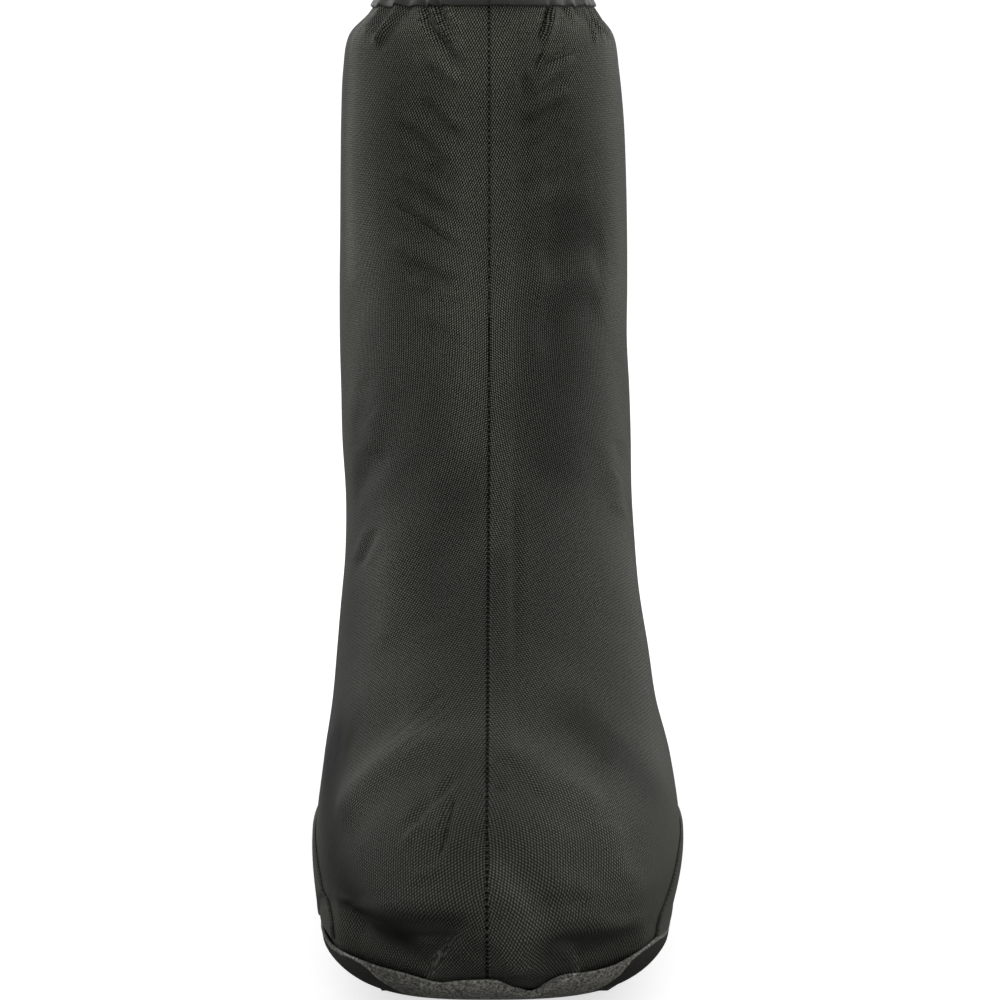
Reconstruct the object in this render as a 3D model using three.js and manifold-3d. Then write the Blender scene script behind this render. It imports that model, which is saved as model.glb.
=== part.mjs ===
// Tall winter overshoe for the left foot: a hollow woven upper with a shaft, a wrap-round cloth sole
// with rubber treads, a bound collar, side patches and a rear closing flap with a pale trim.
// Millimetres, +Z up, toe towards -Y, outer side of the foot towards +X, floor at Z = 0.

import * as THREE from 'three';
import { mergeVertices } from 'three/addons/utils/BufferGeometryUtils.js';
import Module from 'manifold-3d';

// Driving dimensions
const footLength = 305;
const ballWidth = 113.7;
const ankleHeight = 158;
const collarHeight = 300;
const shaftWidth = 107;
const shaftDepth = 113;
const toeSpring = 16.0;
const archRise = 3.5;
const cornerRadius = 18;

// Walls, sheets and the air left between two pieces that touch
const upperWall = 1.5;
const soleWall = 1.7;
const bindingWall = 0.9;
const bindingWidth = 7;
const patchWall = 1.3;
const flapWall = 1.5;
const trimWall = 1.0;
const clearance = 0.3;

// The front seam's allowance lies to the outer side as a low flat strip
const seamStripWidth = 7;
const seamStripRise = 0.45;
const seamStripEdge = 1.0;

// Rubber treads under the ball and the heel
const treadPlate = 2.2;
const lugHeight = 3.0;
const lugSink = 0.5;
const lugGroove = 4.0;

// Heights that follow from the treads and the sole
const treadTop = lugHeight + treadPlate;
const soleUnderside = treadTop + clearance;
const baseHeight = soleUnderside + soleWall + clearance;

// A table as rows of numbers under named columns
const namedRows = (columns, rows) => rows.map((row) => {
  const cells = row.map((value, i) => [columns[i], value]);
  return Object.fromEntries(cells);
});

// Rings of the foot, from the top of the sole corner to the ankle. rise: share of the height between
// them. front, back: shares of footLength. lateral, medial: shares of ballWidth. round: length of the
// rounded front, a share of footLength, and blunt its power. spring: share of the toe spring that
// lifts the ring. waist: how much narrower the heel is than the ball.
const footRings = namedRows(
  ['rise', 'front', 'back', 'lateral', 'medial', 'round', 'blunt', 'spring', 'waist'],
  [
    [0.000, 0.000, 0.994, 0.496, 0.458, 0.300, 2.45, 1.00, 0.25],
    [0.118, 0.010, 1.000, 0.523, 0.471, 0.295, 2.30, 0.80, 0.24],
    [0.268, 0.046, 0.994, 0.502, 0.453, 0.280, 2.15, 0.55, 0.20],
    [0.375, 0.108, 0.981, 0.473, 0.441, 0.270, 2.05, 0.35, 0.15],
    [0.468, 0.180, 0.970, 0.466, 0.444, 0.265, 2.00, 0.15, 0.11],
    [0.563, 0.246, 0.963, 0.455, 0.444, 0.262, 2.00, 0.00, 0.07],
    [0.657, 0.311, 0.958, 0.449, 0.444, 0.260, 2.00, 0.00, 0.04],
    [0.759, 0.377, 0.955, 0.444, 0.450, 0.257, 2.00, 0.00, 0.02],
    [0.876, 0.439, 0.954, 0.442, 0.462, 0.250, 2.00, 0.00, 0.00],
    [1.000, 0.492, 0.956, 0.442, 0.472, 0.237, 2.00, 0.00, 0.00],
  ],
);
const heelRound = 0.20;

// Rings of the shaft. rise: share of the height from the ankle to the collar. back: share of
// footLength. depth: share of shaftDepth, from the back to the front seam. lateral and medial:
// shares of shaftWidth. Both ends of a ring are rounded over half its depth.
const shaftRings = namedRows(
  ['rise', 'back', 'depth', 'lateral', 'medial'],
  [
    [0.120, 0.961, 1.151, 0.463, 0.508],
    [0.254, 0.967, 1.062, 0.466, 0.511],
    [0.387, 0.974, 1.009, 0.466, 0.510],
    [0.528, 0.980, 0.991, 0.462, 0.508],
    [0.669, 0.986, 0.998, 0.453, 0.504],
    [0.790, 0.989, 1.004, 0.436, 0.496],
    [0.880, 0.984, 0.982, 0.414, 0.474],
    [0.937, 0.966, 0.916, 0.354, 0.400],
    [1.000, 0.955, 0.870, 0.306, 0.346],
  ],
);

// Height of the cloth sole's rim on the rounded corner. at: share of footLength. turn: share of
// the quarter turn from flat underneath to upright at the side.
const soleRim = namedRows(
  ['at', 'turn'],
  [
    [0.00, 0.46],
    [0.03, 0.52],
    [0.08, 0.68],
    [0.15, 0.86],
    [0.25, 0.76],
    [0.40, 0.70],
    [0.80, 0.72],
    [1.00, 0.78],
  ],
);

// Stations along the foot, as shares of footLength
const ballStation = 0.30;
const heelStation = 0.75;
const springEnd = 0.20;
const springPower = 1.6;
const archStart = 0.40;
const archEnd = 0.70;

// Mesh fineness, the step of a slope and the tries of a search
const stepsPerSide = 22;
const cornerSteps = 6;
const bottomSteps = 3;
const slopeStep = 0.01;
const searchTries = 40;
const lowestSideLevel = 0.2;
const leastLevelGap = 0.4;
const weldReach = 1e-3;

const ease = (t) => {
  const s = Math.min(1, Math.max(0, t));
  return s * s * (3 - 2 * s);
};

const mixRows = (rows, index, key) => {
  const last = rows.length - 1;
  const i = Math.min(last - 1, Math.max(0, Math.floor(index)));
  const t = index - i;
  const before = rows[Math.max(0, i - 1)][key];
  const start = rows[i][key];
  const end = rows[i + 1][key];
  const after = rows[Math.min(last, i + 2)][key];
  const bend = (2 * before - 5 * start + 4 * end - after) * t * t;
  const twist = (3 * start - before - 3 * end + after) * t * t * t;
  return start + 0.5 * ((end - before) * t + bend + twist);
};

// A smooth curve through a table whose rows are placed by their column at
const mixTable = (rows, at, key) => {
  let i = 0;
  while (i < rows.length - 2 && rows[i + 1].at < at) {
    i += 1;
  }
  const slope = (k) => {
    const before = rows[Math.max(0, k - 1)];
    const after = rows[Math.min(rows.length - 1, k + 1)];
    return (after[key] - before[key]) / (after.at - before.at);
  };
  const span = rows[i + 1].at - rows[i].at;
  const t = Math.min(1, Math.max(0, (at - rows[i].at) / span));
  const start = ease(1 - t) * rows[i][key] + t * (1 - t) ** 2 * span * slope(i);
  const end = ease(t) * rows[i + 1][key] - t * t * (1 - t) * span * slope(i + 1);
  return start + end;
};

// All rings in millimetres. lift is the ring's height above the floor at the flat of the ball.
const cornerTop = baseHeight + cornerRadius;
const ringTop = collarHeight - bindingWall - clearance;
const rings = [
  ...footRings.map((row) => ({
    lift: cornerTop + row.rise * (ankleHeight - cornerTop),
    front: row.front * footLength,
    back: row.back * footLength,
    lateral: row.lateral * ballWidth,
    medial: row.medial * ballWidth,
    frontRound: row.round * footLength,
    rearRound: heelRound * footLength,
    blunt: row.blunt,
    spring: row.spring,
    waist: row.waist,
  })),
  ...shaftRings.map((row) => ({
    lift: ankleHeight + row.rise * (ringTop - ankleHeight),
    front: row.back * footLength - row.depth * shaftDepth,
    back: row.back * footLength,
    lateral: row.lateral * shaftWidth,
    medial: row.medial * shaftWidth,
    frontRound: 0.5 * row.depth * shaftDepth,
    rearRound: 0.5 * row.depth * shaftDepth,
    blunt: 2,
    spring: 0,
    waist: 0,
  })),
];
const ringCount = rings.length - 1;

// level 0 is the flat underneath, 1 the top of the rounded corner, and above that one per ring
function ringAt(level) {
  const index = Math.min(ringCount, Math.max(0, level - 1));
  const ring = {};
  for (const key of Object.keys(rings[0])) {
    ring[key] = mixRows(rings, index, key);
  }
  if (level < 1) {
    const turn = (Math.max(0, level) * Math.PI) / 2;
    const inset = cornerRadius * (1 - Math.sin(turn));
    ring.lift -= cornerRadius * Math.cos(turn);
    ring.front += inset;
    ring.back -= inset;
    ring.lateral -= inset;
    ring.medial -= inset;
    ring.frontRound -= inset;
    ring.rearRound -= inset;
  }
  return ring;
}

const quarter = (t, power = 2) => {
  const rest = 1 - Math.min(1, Math.max(0, t));
  return (1 - rest ** power) ** (1 / power);
};

function halfWidth(ring, along, side) {
  const toe = quarter((along - ring.front) / ring.frontRound, ring.blunt);
  const heel = quarter((ring.back - along) / ring.rearRound);
  const toHeel = ease((along / footLength - ballStation) / (heelStation - ballStation));
  return ring[side] * (1 - ring.waist * toHeel) * toe * heel;
}

function floorRise(along, spring) {
  const share = along / footLength;
  const toe = share < springEnd ? toeSpring * (1 - share / springEnd) ** springPower : 0;
  const middle = (archStart + archEnd) / 2;
  const reach = (archEnd - archStart) / 2;
  const arch = archRise * ease(1 - Math.abs(share - middle) / reach);
  return (toe + arch) * spring;
}

// A turn of 0 is the front seam, half a turn the back, and the outer side comes first
function bodyPoint(level, turn) {
  const ring = ringAt(level);
  const side = turn <= Math.PI ? 'lateral' : 'medial';
  const along = ring.front + (ring.back - ring.front) * (1 - Math.cos(turn)) * 0.5;
  const across = halfWidth(ring, along, side) * (side === 'lateral' ? 1 : -1);
  return new THREE.Vector3(across, along - footLength / 2, ring.lift + floorRise(along, ring.spring));
}

function bodyNormal(level, turn) {
  const low = Math.max(0, level - slopeStep);
  const high = Math.min(ringCount + 1, level + slopeStep);
  const round = bodyPoint(level, turn + slopeStep).sub(bodyPoint(level, Math.max(0, turn - slopeStep)));
  const up = bodyPoint(high, turn).sub(bodyPoint(low, turn));
  return round.cross(up).normalize();
}

function offsetPoint(level, turn, offset) {
  return bodyPoint(level, turn).addScaledVector(bodyNormal(level, turn), offset);
}

// Turns of one side's columns: the seam, the two edges of its flat strip, then even steps
function sideTurns(level) {
  const ring = ringAt(level);
  const spread = ring.lateral * Math.sqrt((ring.back - ring.front) / (2 * ring.frontRound));
  const turns = [0, seamStripWidth / spread, (seamStripWidth + seamStripEdge) / spread];
  for (let i = 3; i <= stepsPerSide; i += 1) {
    turns.push(THREE.MathUtils.lerp(turns[2], Math.PI, (i - 2) / (stepsPerSide - 2)));
  }
  return turns;
}

function allTurns(level) {
  const turns = sideTurns(level);
  const back = turns.slice(1, -1).reverse().map((turn) => 2 * Math.PI - turn);
  return [...turns, ...back];
}

// Geometry from rows of points that close on themselves both ways, or a patch with two faces
function closedRows(rows) {
  const wide = rows[0].length;
  const positions = rows.flat().flatMap((point) => point.toArray());
  const faces = [];
  rows.forEach((row, r) => {
    const next = ((r + 1) % rows.length) * wide;
    for (let c = 0; c < wide; c += 1) {
      const side = (c + 1) % wide;
      faces.push(r * wide + c, r * wide + side, next + side);
      faces.push(r * wide + c, next + side, next + c);
    }
  });
  return weld(positions, faces);
}

function sheet(points, outward) {
  const [outer, inner] = outward;
  const rows = points(outer);
  const linings = points(inner);
  return stack(rows.map((row, i) => [...row, ...linings[i].slice().reverse()]));
}

// Loops of points one after the other, closed by a face at each end
function stack(loops) {
  const wide = loops[0].length;
  const positions = loops.flat().flatMap((point) => point.toArray());
  const faces = [];
  for (let r = 0; r < loops.length - 1; r += 1) {
    for (let c = 0; c < wide; c += 1) {
      const side = (c + 1) % wide;
      faces.push(r * wide + c, r * wide + side, (r + 1) * wide + side);
      faces.push(r * wide + c, (r + 1) * wide + side, (r + 1) * wide + c);
    }
  }
  const last = (loops.length - 1) * wide;
  for (let c = 0; c < wide / 2 - 1; c += 1) {
    const far = wide - 1 - c;
    faces.push(c, far, far - 1, c, far - 1, c + 1);
    faces.push(last + c, last + far - 1, last + far, last + c, last + c + 1, last + far - 1);
  }
  return weld(positions, faces);
}

function weld(positions, faces) {
  const rough = new THREE.BufferGeometry();
  rough.setAttribute('position', new THREE.Float32BufferAttribute(positions, 3));
  rough.setIndex(faces);
  const merged = mergeVertices(rough, weldReach);
  const index = merged.getIndex().array;
  const kept = [];
  for (let i = 0; i < index.length; i += 3) {
    const [a, b, c] = [index[i], index[i + 1], index[i + 2]];
    if (a !== b && b !== c && c !== a) {
      kept.push(a, b, c);
    }
  }
  merged.setIndex(kept);
  merged.computeVertexNormals();
  return merged;
}

// The upper: one wall from the turned-in edge underneath to the collar
function seamStrip(column) {
  return column <= 1 ? seamStripRise : 0;
}

// Levels of the collar binding: its lower edge, its middle and the upper's top edge
const topLevel = ringCount + 1;
const lastRingRise = 1 - shaftRings[shaftRings.length - 2].rise;
const bandLow = topLevel - bindingWidth / (lastRingRise * (ringTop - ankleHeight));
const bandLevels = [bandLow, (bandLow + topLevel) / 2, topLevel];

function upperLevels() {
  const corner = Array.from({ length: cornerSteps }, (_, i) => i / cornerSteps);
  const body = rings.map((_, i) => i + 1).filter((level) => level < bandLow - leastLevelGap);
  return [...corner, ...body, ...bandLevels];
}

function upperGeometry() {
  const levels = upperLevels();
  const row = (level, offset, strip) => allTurns(level).map((turn, column) => {
    const rise = level >= 1 ? strip * seamStrip(column) : 0;
    return offsetPoint(level, turn, offset + rise);
  });
  const outside = levels.map((level) => row(level, 0, 1));
  const inside = levels.map((level) => row(level, -upperWall, 0)).reverse();
  return closedRows([...outside, ...inside]);
}

// The cloth sole: a dish that wraps the corner from outside and closes the upper underneath
function soleGeometry() {
  const turns = allTurns(1);
  const rimLevel = (turn) => mixTable(soleRim, bodyPoint(1, turn).y / footLength + 0.5, 'turn');
  const wallRow = (share, offset) => turns.map((turn) => offsetPoint(share * rimLevel(turn), turn, offset));
  const floorRow = (share, drop) => turns.map((turn) => {
    const point = bodyPoint(0, turn);
    return new THREE.Vector3(point.x * share, point.y, point.z - drop);
  });
  const steps = (count, fn) => Array.from({ length: count + 1 }, (_, i) => fn(i / count));
  const outerOffset = clearance + soleWall;
  const floors = (drop) => steps(bottomSteps, (t) => floorRow(t, drop)).slice(0, -1);
  const walls = (offset) => steps(cornerSteps, (t) => wallRow(t, offset));
  const outside = [...floors(outerOffset), ...walls(outerOffset)];
  const inside = [...floors(clearance), ...walls(clearance)].reverse();
  return closedRows([...outside, ...inside]);
}

// The collar binding: a folded band over the upper's top edge, outside, over and inside
function bindingGeometry() {
  const [low, middle, top] = bandLevels;
  const outer = clearance + bindingWall;
  const inner = -upperWall - clearance;
  const row = (level, offset, lift) => allTurns(level).map((turn, column) => {
    const point = offsetPoint(level, turn, offset + (offset > 0 ? seamStrip(column) : 0));
    point.z += lift;
    return point;
  });
  return closedRows([
    row(low, outer, 0),
    row(middle, outer, 0),
    row(top, outer, 0),
    row(top, clearance, clearance + bindingWall),
    row(top, inner, clearance + bindingWall),
    row(top, inner - bindingWall, 0),
    row(middle, inner - bindingWall, 0),
    row(low, inner - bindingWall, 0),
    row(low, inner, 0),
    row(middle, inner, 0),
    row(top, inner, clearance),
    row(top, clearance, clearance),
    row(middle, clearance, 0),
    row(low, clearance, 0),
  ]);
}

// Level of the body surface at a height, for a given distance from the toe
function levelAt(along, height) {
  let low = lowestSideLevel;
  let high = ringCount + 1;
  for (let i = 0; i < searchTries; i += 1) {
    const level = (low + high) / 2;
    const ring = ringAt(level);
    if (ring.lift + floorRise(along, ring.spring) < height) {
      low = level;
    } else {
      high = level;
    }
  }
  return (low + high) / 2;
}

function turnAt(level, along) {
  const ring = ringAt(level);
  return Math.acos(1 - (2 * (along - ring.front)) / (ring.back - ring.front));
}

// Side patches: an overlay on each side of the ball, from the sole's rim up to its own edge.
// at: share of footLength. height: share of ankleHeight.
const patchEdge = namedRows(
  ['at', 'height'],
  [
    [0.118, 0.196],
    [0.146, 0.228],
    [0.170, 0.250],
    [0.210, 0.270],
    [0.262, 0.275],
    [0.350, 0.262],
    [0.525, 0.196],
  ],
);
const patchRimGap = 1.2;
const patchRound = 3;
const patchColumns = 20;
const patchRows = 6;

function patchGeometry(side) {
  const front = patchEdge[0].at * footLength;
  const back = patchEdge[patchEdge.length - 1].at * footLength;
  const points = (offset) => {
    const grid = [];
    for (let r = 0; r <= patchRows; r += 1) {
      const line = [];
      for (let c = 0; c <= patchColumns; c += 1) {
        const along = THREE.MathUtils.lerp(front, back, c / patchColumns);
        const rim = mixTable(soleRim, along / footLength, 'turn');
        const ring = ringAt(rim);
        const bottom = ring.lift + floorRise(along, 1) + patchRimGap;
        const drop = patchRound * (1 - quarter(Math.min(along - front, back - along) / patchRound));
        const edge = mixTable(patchEdge, along / footLength, 'height') * ankleHeight;
        const height = THREE.MathUtils.lerp(bottom, edge - drop, r / patchRows);
        const level = levelAt(along, height);
        const turn = turnAt(level, along);
        line.push(offsetPoint(level, side === 'lateral' ? turn : 2 * Math.PI - turn, offset));
      }
      grid.push(side === 'lateral' ? line : line.reverse());
    }
    return grid;
  };
  return sheet(points, [clearance + patchWall, clearance]);
}

// Rear closing flap: sewn down beside the heel on the inner side, its free edge on the outer side.
// at: share of the collar's height. edge: share of footLength where the free edge runs.
const flapEdge = namedRows(
  ['at', 'edge'],
  [
    [0.08, 0.712],
    [0.18, 0.704],
    [0.28, 0.720],
    [0.38, 0.762],
    [0.50, 0.812],
    [0.65, 0.846],
    [1.00, 0.870],
  ],
);
const flapLowLevel = 1.5;
const flapSewnEdge = 0.88;
const flapColumns = 20;
const trimWidth = 7;
const trimInset = 1.0;
const trimColumns = 2;

function flapLevels() {
  const highest = bandLow - leastLevelGap;
  const whole = rings.map((_, i) => i + 1).filter((level) => level > flapLowLevel && level < highest);
  return [flapLowLevel, ...whole];
}

function flapGrid(offset, startAlong, endTurn, columns) {
  return flapLevels().map((level) => {
    const along = mixTable(flapEdge, ringAt(level).lift / collarHeight, 'edge') * footLength;
    const start = turnAt(level, along + startAlong);
    const end = endTurn(level, along);
    return Array.from({ length: columns + 1 }, (_, c) => {
      const turn = THREE.MathUtils.lerp(start, end, c / columns);
      return offsetPoint(level, turn, offset);
    });
  });
}

function flapGeometry() {
  const sewn = (level) => 2 * Math.PI - turnAt(level, flapSewnEdge * footLength);
  return sheet((offset) => flapGrid(offset, 0, sewn, flapColumns), [clearance + flapWall, clearance]);
}

function trimGeometry() {
  const far = (level, along) => turnAt(level, along + trimInset + trimWidth);
  const lower = 2 * clearance + flapWall;
  return sheet((offset) => flapGrid(offset, trimInset, far, trimColumns), [lower + trimWall, lower]);
}

// Treads: a rounded plate with rows of lugs, flat on the floor
const wasm = await Module();
wasm.setup();

function toSolid(geometry) {
  return new wasm.Manifold(new wasm.Mesh({
    numProp: 3,
    vertProperties: new Float32Array(geometry.getAttribute('position').array),
    triVerts: new Uint32Array(geometry.getIndex().array),
  }));
}

function toGeometry(solid) {
  const mesh = solid.getMesh();
  const geometry = new THREE.BufferGeometry();
  geometry.setAttribute('position', new THREE.BufferAttribute(new Float32Array(mesh.vertProperties), 3));
  geometry.setIndex(new THREE.BufferAttribute(new Uint32Array(mesh.triVerts), 1));
  geometry.computeVertexNormals();
  return geometry;
}

// start, end: shares of footLength. lateral, medial: shares of the sole's flat half width there.
const treads = {
  forefoot: { start: 0.173, end: 0.400, lateral: 1.20, medial: 1.10, rows: 5, columns: 4 },
  heel: { start: 0.700, end: 0.900, lateral: 0.98, medial: 0.98, rows: 6, columns: 3 },
};
const treadCorners = { lateral: 12, medial: 6 };
const outlineSteps = 10;
const lugInset = 1.0;
const cornerLimit = 0.6;

function treadEdge(tread, along, side, inset) {
  const flat = halfWidth(ringAt(0), along, side) * tread[side];
  const start = tread.start * footLength;
  const end = tread.end * footLength;
  const toEnd = Math.min(along - start, end - along);
  const corner = Math.min(treadCorners[side], cornerLimit * flat);
  return flat - corner * (1 - quarter(toEnd / corner)) - inset;
}

// A flat bar along the foot from sections of left edge, right edge and place, between two heights
const bar = (sections, low, high) => stack(sections.map(({ left, right, along }) => {
  const place = along - footLength / 2;
  return [
    new THREE.Vector3(right, place, low),
    new THREE.Vector3(left, place, low),
    new THREE.Vector3(left, place, high),
    new THREE.Vector3(right, place, high),
  ];
}));

function treadSection(tread, along, inset) {
  return {
    along,
    left: -treadEdge(tread, along, 'medial', inset),
    right: treadEdge(tread, along, 'lateral', inset),
  };
}

function treadPlateSections(tread) {
  const start = tread.start * footLength;
  const span = (tread.end - tread.start) * footLength;
  return Array.from({ length: outlineSteps + 1 }, (_, i) => {
    const along = start + (span * (1 - Math.cos((Math.PI * i) / outlineSteps))) / 2;
    return treadSection(tread, along, 0);
  });
}

function lugSections(tread, row, column) {
  const pitch = ((tread.end - tread.start) * footLength) / tread.rows;
  const low = tread.start * footLength + pitch * row + lugGroove / 2;
  const high = low + pitch - lugGroove;
  return [low, high].map((along) => {
    const { left, right } = treadSection(tread, along, lugInset);
    const groove = lugGroove / 2;
    const first = THREE.MathUtils.lerp(left, right, column / tread.columns);
    const second = THREE.MathUtils.lerp(left, right, (column + 1) / tread.columns);
    return {
      along,
      left: column > 0 ? first + groove : first,
      right: column < tread.columns - 1 ? second - groove : second,
    };
  });
}

function treadGeometry(tread) {
  let solid = toSolid(bar(treadPlateSections(tread), lugHeight, treadTop));
  for (let row = 0; row < tread.rows; row += 1) {
    for (let column = 0; column < tread.columns; column += 1) {
      solid = solid.add(toSolid(bar(lugSections(tread, row, column), 0, lugHeight + lugSink)));
    }
  }
  return toGeometry(solid);
}

// Materials
const cloth = { color: 0x33332f, roughness: 0.78, metalness: 0 };
const tweed = { color: 0x4b4a44, roughness: 0.9, metalness: 0 };
const rubber = { color: 0x1d1d1b, roughness: 0.7, metalness: 0 };
const edging = { color: 0x2b2b28, roughness: 0.6, metalness: 0 };
const pale = { color: 0xd2d3d0, roughness: 0.35, metalness: 0 };

const pieces = [
  ['upper', upperGeometry(), cloth],
  ['sole', soleGeometry(), tweed],
  ['forefoot_tread', treadGeometry(treads.forefoot), rubber],
  ['heel_tread', treadGeometry(treads.heel), rubber],
  ['collar_binding', bindingGeometry(), edging],
  ['side_patch_lateral', patchGeometry('lateral'), cloth],
  ['side_patch_medial', patchGeometry('medial'), cloth],
  ['back_flap', flapGeometry(), cloth],
  ['reflective_trim', trimGeometry(), pale],
];

const overshoe = new THREE.Group();
overshoe.name = 'winter_overshoe';
for (const [name, geometry, look] of pieces) {
  const mesh = new THREE.Mesh(geometry, new THREE.MeshStandardMaterial(look));
  mesh.name = name;
  overshoe.add(mesh);
}

// The origin is on the floor, under the middle of the overshoe's box
const box = new THREE.Box3().setFromObject(overshoe);
const middle = box.getCenter(new THREE.Vector3());
overshoe.position.set(-middle.x, -middle.y, -box.min.z);
overshoe.updateMatrixWorld(true);

export default overshoe;
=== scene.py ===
"""Winter overshoe for the left foot: woven upper with folds, tweed sole, treads, collar and rear flap."""
import math

import bpy
import numpy as np
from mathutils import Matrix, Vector


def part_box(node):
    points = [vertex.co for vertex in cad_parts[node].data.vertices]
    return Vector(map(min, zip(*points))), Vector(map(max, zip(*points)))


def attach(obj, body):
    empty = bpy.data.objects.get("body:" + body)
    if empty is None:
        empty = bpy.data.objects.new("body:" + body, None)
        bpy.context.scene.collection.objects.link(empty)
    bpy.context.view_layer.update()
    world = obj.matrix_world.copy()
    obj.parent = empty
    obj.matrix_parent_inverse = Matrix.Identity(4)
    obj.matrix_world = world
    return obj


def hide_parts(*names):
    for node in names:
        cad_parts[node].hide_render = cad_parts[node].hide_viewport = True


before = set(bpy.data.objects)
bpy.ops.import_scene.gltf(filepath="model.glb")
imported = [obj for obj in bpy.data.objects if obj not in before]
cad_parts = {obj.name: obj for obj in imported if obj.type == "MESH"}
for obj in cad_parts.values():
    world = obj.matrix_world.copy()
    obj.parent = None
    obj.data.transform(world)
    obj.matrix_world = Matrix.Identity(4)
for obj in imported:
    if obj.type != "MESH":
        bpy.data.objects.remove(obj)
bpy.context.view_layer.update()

# Sizes of the shoe in millimetres, on which its rings, folds and seams are laid out
MM = 0.001
FOOT_LENGTH = 305.0
BALL_WIDTH = 113.7
ANKLE_HEIGHT = 158.0
COLLAR_HEIGHT = 300.0
SHAFT_WIDTH = 107.0
SHAFT_DEPTH = 113.0
TOE_SPRING = 16.0
ARCH_RISE = 3.5
CORNER = 18.0
UPPER_WALL = 1.5
SOLE_WALL = 1.7
BINDING_WALL = 0.9
BINDING_WIDTH = 7.0
CLEARANCE = 0.3
TREAD_HEIGHT = 5.2
BASE_HEIGHT = TREAD_HEIGHT + CLEARANCE + SOLE_WALL + CLEARANCE
UPPER_TOP = COLLAR_HEIGHT - BINDING_WALL - CLEARANCE
SEAM_STRIP = 7.0
SEAM_STRIP_RISE = 0.45

# Rings of the foot: rise, front, back, lateral, medial, round, blunt, spring, waist
FOOT_RINGS = (
    (0.000, 0.000, 0.994, 0.496, 0.458, 0.300, 2.45, 1.00, 0.25),
    (0.118, 0.010, 1.000, 0.523, 0.471, 0.295, 2.30, 0.80, 0.24),
    (0.268, 0.046, 0.994, 0.502, 0.453, 0.280, 2.15, 0.55, 0.20),
    (0.375, 0.108, 0.981, 0.473, 0.441, 0.270, 2.05, 0.35, 0.15),
    (0.468, 0.180, 0.970, 0.466, 0.444, 0.265, 2.00, 0.15, 0.11),
    (0.563, 0.246, 0.963, 0.455, 0.444, 0.262, 2.00, 0.00, 0.07),
    (0.657, 0.311, 0.958, 0.449, 0.444, 0.260, 2.00, 0.00, 0.04),
    (0.759, 0.377, 0.955, 0.444, 0.450, 0.257, 2.00, 0.00, 0.02),
    (0.876, 0.439, 0.954, 0.442, 0.462, 0.250, 2.00, 0.00, 0.00),
    (1.000, 0.492, 0.956, 0.442, 0.472, 0.237, 2.00, 0.00, 0.00),
)
HEEL_ROUND = 0.20

# Rings of the shaft: rise, back, depth, lateral, medial
SHAFT_RINGS = (
    (0.120, 0.961, 1.151, 0.463, 0.508),
    (0.254, 0.967, 1.062, 0.466, 0.511),
    (0.387, 0.974, 1.009, 0.466, 0.510),
    (0.528, 0.980, 0.991, 0.462, 0.508),
    (0.669, 0.986, 0.998, 0.453, 0.504),
    (0.790, 0.989, 1.004, 0.436, 0.496),
    (0.880, 0.984, 0.982, 0.414, 0.474),
    (0.937, 0.966, 0.916, 0.354, 0.400),
    (1.000, 0.955, 0.870, 0.306, 0.346),
)

# Rim of the sole cloth on the rounded corner: at, turn
SOLE_RIM = (
    (0.00, 0.46), (0.03, 0.52), (0.08, 0.68), (0.15, 0.86), (0.25, 0.76), (0.40, 0.70), (0.80, 0.72),
    (1.00, 0.78),
)


def ease(t):
    s = np.clip(t, 0.0, 1.0)
    return s * s * (3.0 - 2.0 * s)


def bell(x, width):
    return np.exp(-(x / width) ** 2)


def ring_table():
    corner_top = BASE_HEIGHT + CORNER
    rows = []
    for rise, front, back, lateral, medial, rounding, blunt, spring, waist in FOOT_RINGS:
        lift = corner_top + rise * (ANKLE_HEIGHT - corner_top)
        lengths = (front * FOOT_LENGTH, back * FOOT_LENGTH, lateral * BALL_WIDTH, medial * BALL_WIDTH)
        rows.append((lift, *lengths, rounding * FOOT_LENGTH, HEEL_ROUND * FOOT_LENGTH, blunt, spring, waist))
    for rise, back, depth, lateral, medial in SHAFT_RINGS:
        deep = depth * SHAFT_DEPTH
        lift = ANKLE_HEIGHT + rise * (UPPER_TOP - ANKLE_HEIGHT)
        lengths = (back * FOOT_LENGTH - deep, back * FOOT_LENGTH, lateral * SHAFT_WIDTH, medial * SHAFT_WIDTH)
        rows.append((lift, *lengths, 0.5 * deep, 0.5 * deep, 2.0, 0.0, 0.0))
    return np.array(rows)


RINGS = ring_table()
TOP_LEVEL = float(len(RINGS))
LIFT, FRONT, BACK, LATERAL, MEDIAL, ROUND, HEEL, BLUNT, SPRING, WAIST = range(10)


def ring_at(level):
    """The ring at a level: 0 underneath, 1 the top of the rounded corner, then one level for each ring."""
    index = np.clip(level - 1.0, 0.0, len(RINGS) - 1.0)
    last = len(RINGS) - 1
    i = np.clip(np.floor(index).astype(int), 0, last - 1)
    t = (index - i)[..., None]
    before, start = RINGS[np.maximum(i - 1, 0)], RINGS[i]
    end, after = RINGS[i + 1], RINGS[np.minimum(i + 2, last)]
    bend = (2 * before - 5 * start + 4 * end - after) * t ** 2
    twist = (3 * start - before - 3 * end + after) * t ** 3
    ring = start + 0.5 * ((end - before) * t + bend + twist)
    turn = np.clip(level, 0.0, 1.0) * math.pi / 2
    inset = CORNER * (1 - np.sin(turn))
    ring[..., LIFT] -= CORNER * np.cos(turn)
    ring[..., FRONT] += inset
    for column in (BACK, LATERAL, MEDIAL, ROUND, HEEL):
        ring[..., column] -= inset
    return ring


def quarter(t, power=2.0):
    rest = 1.0 - np.clip(t, 0.0, 1.0)
    return (1.0 - rest ** power) ** (1.0 / power)


def floor_rise(along, spring):
    share = along / FOOT_LENGTH
    toe = TOE_SPRING * np.clip(1 - share / 0.20, 0, 1) ** 1.6
    arch = ARCH_RISE * ease(1 - np.abs(share - 0.55) / 0.15)
    return (toe + arch) * spring


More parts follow.
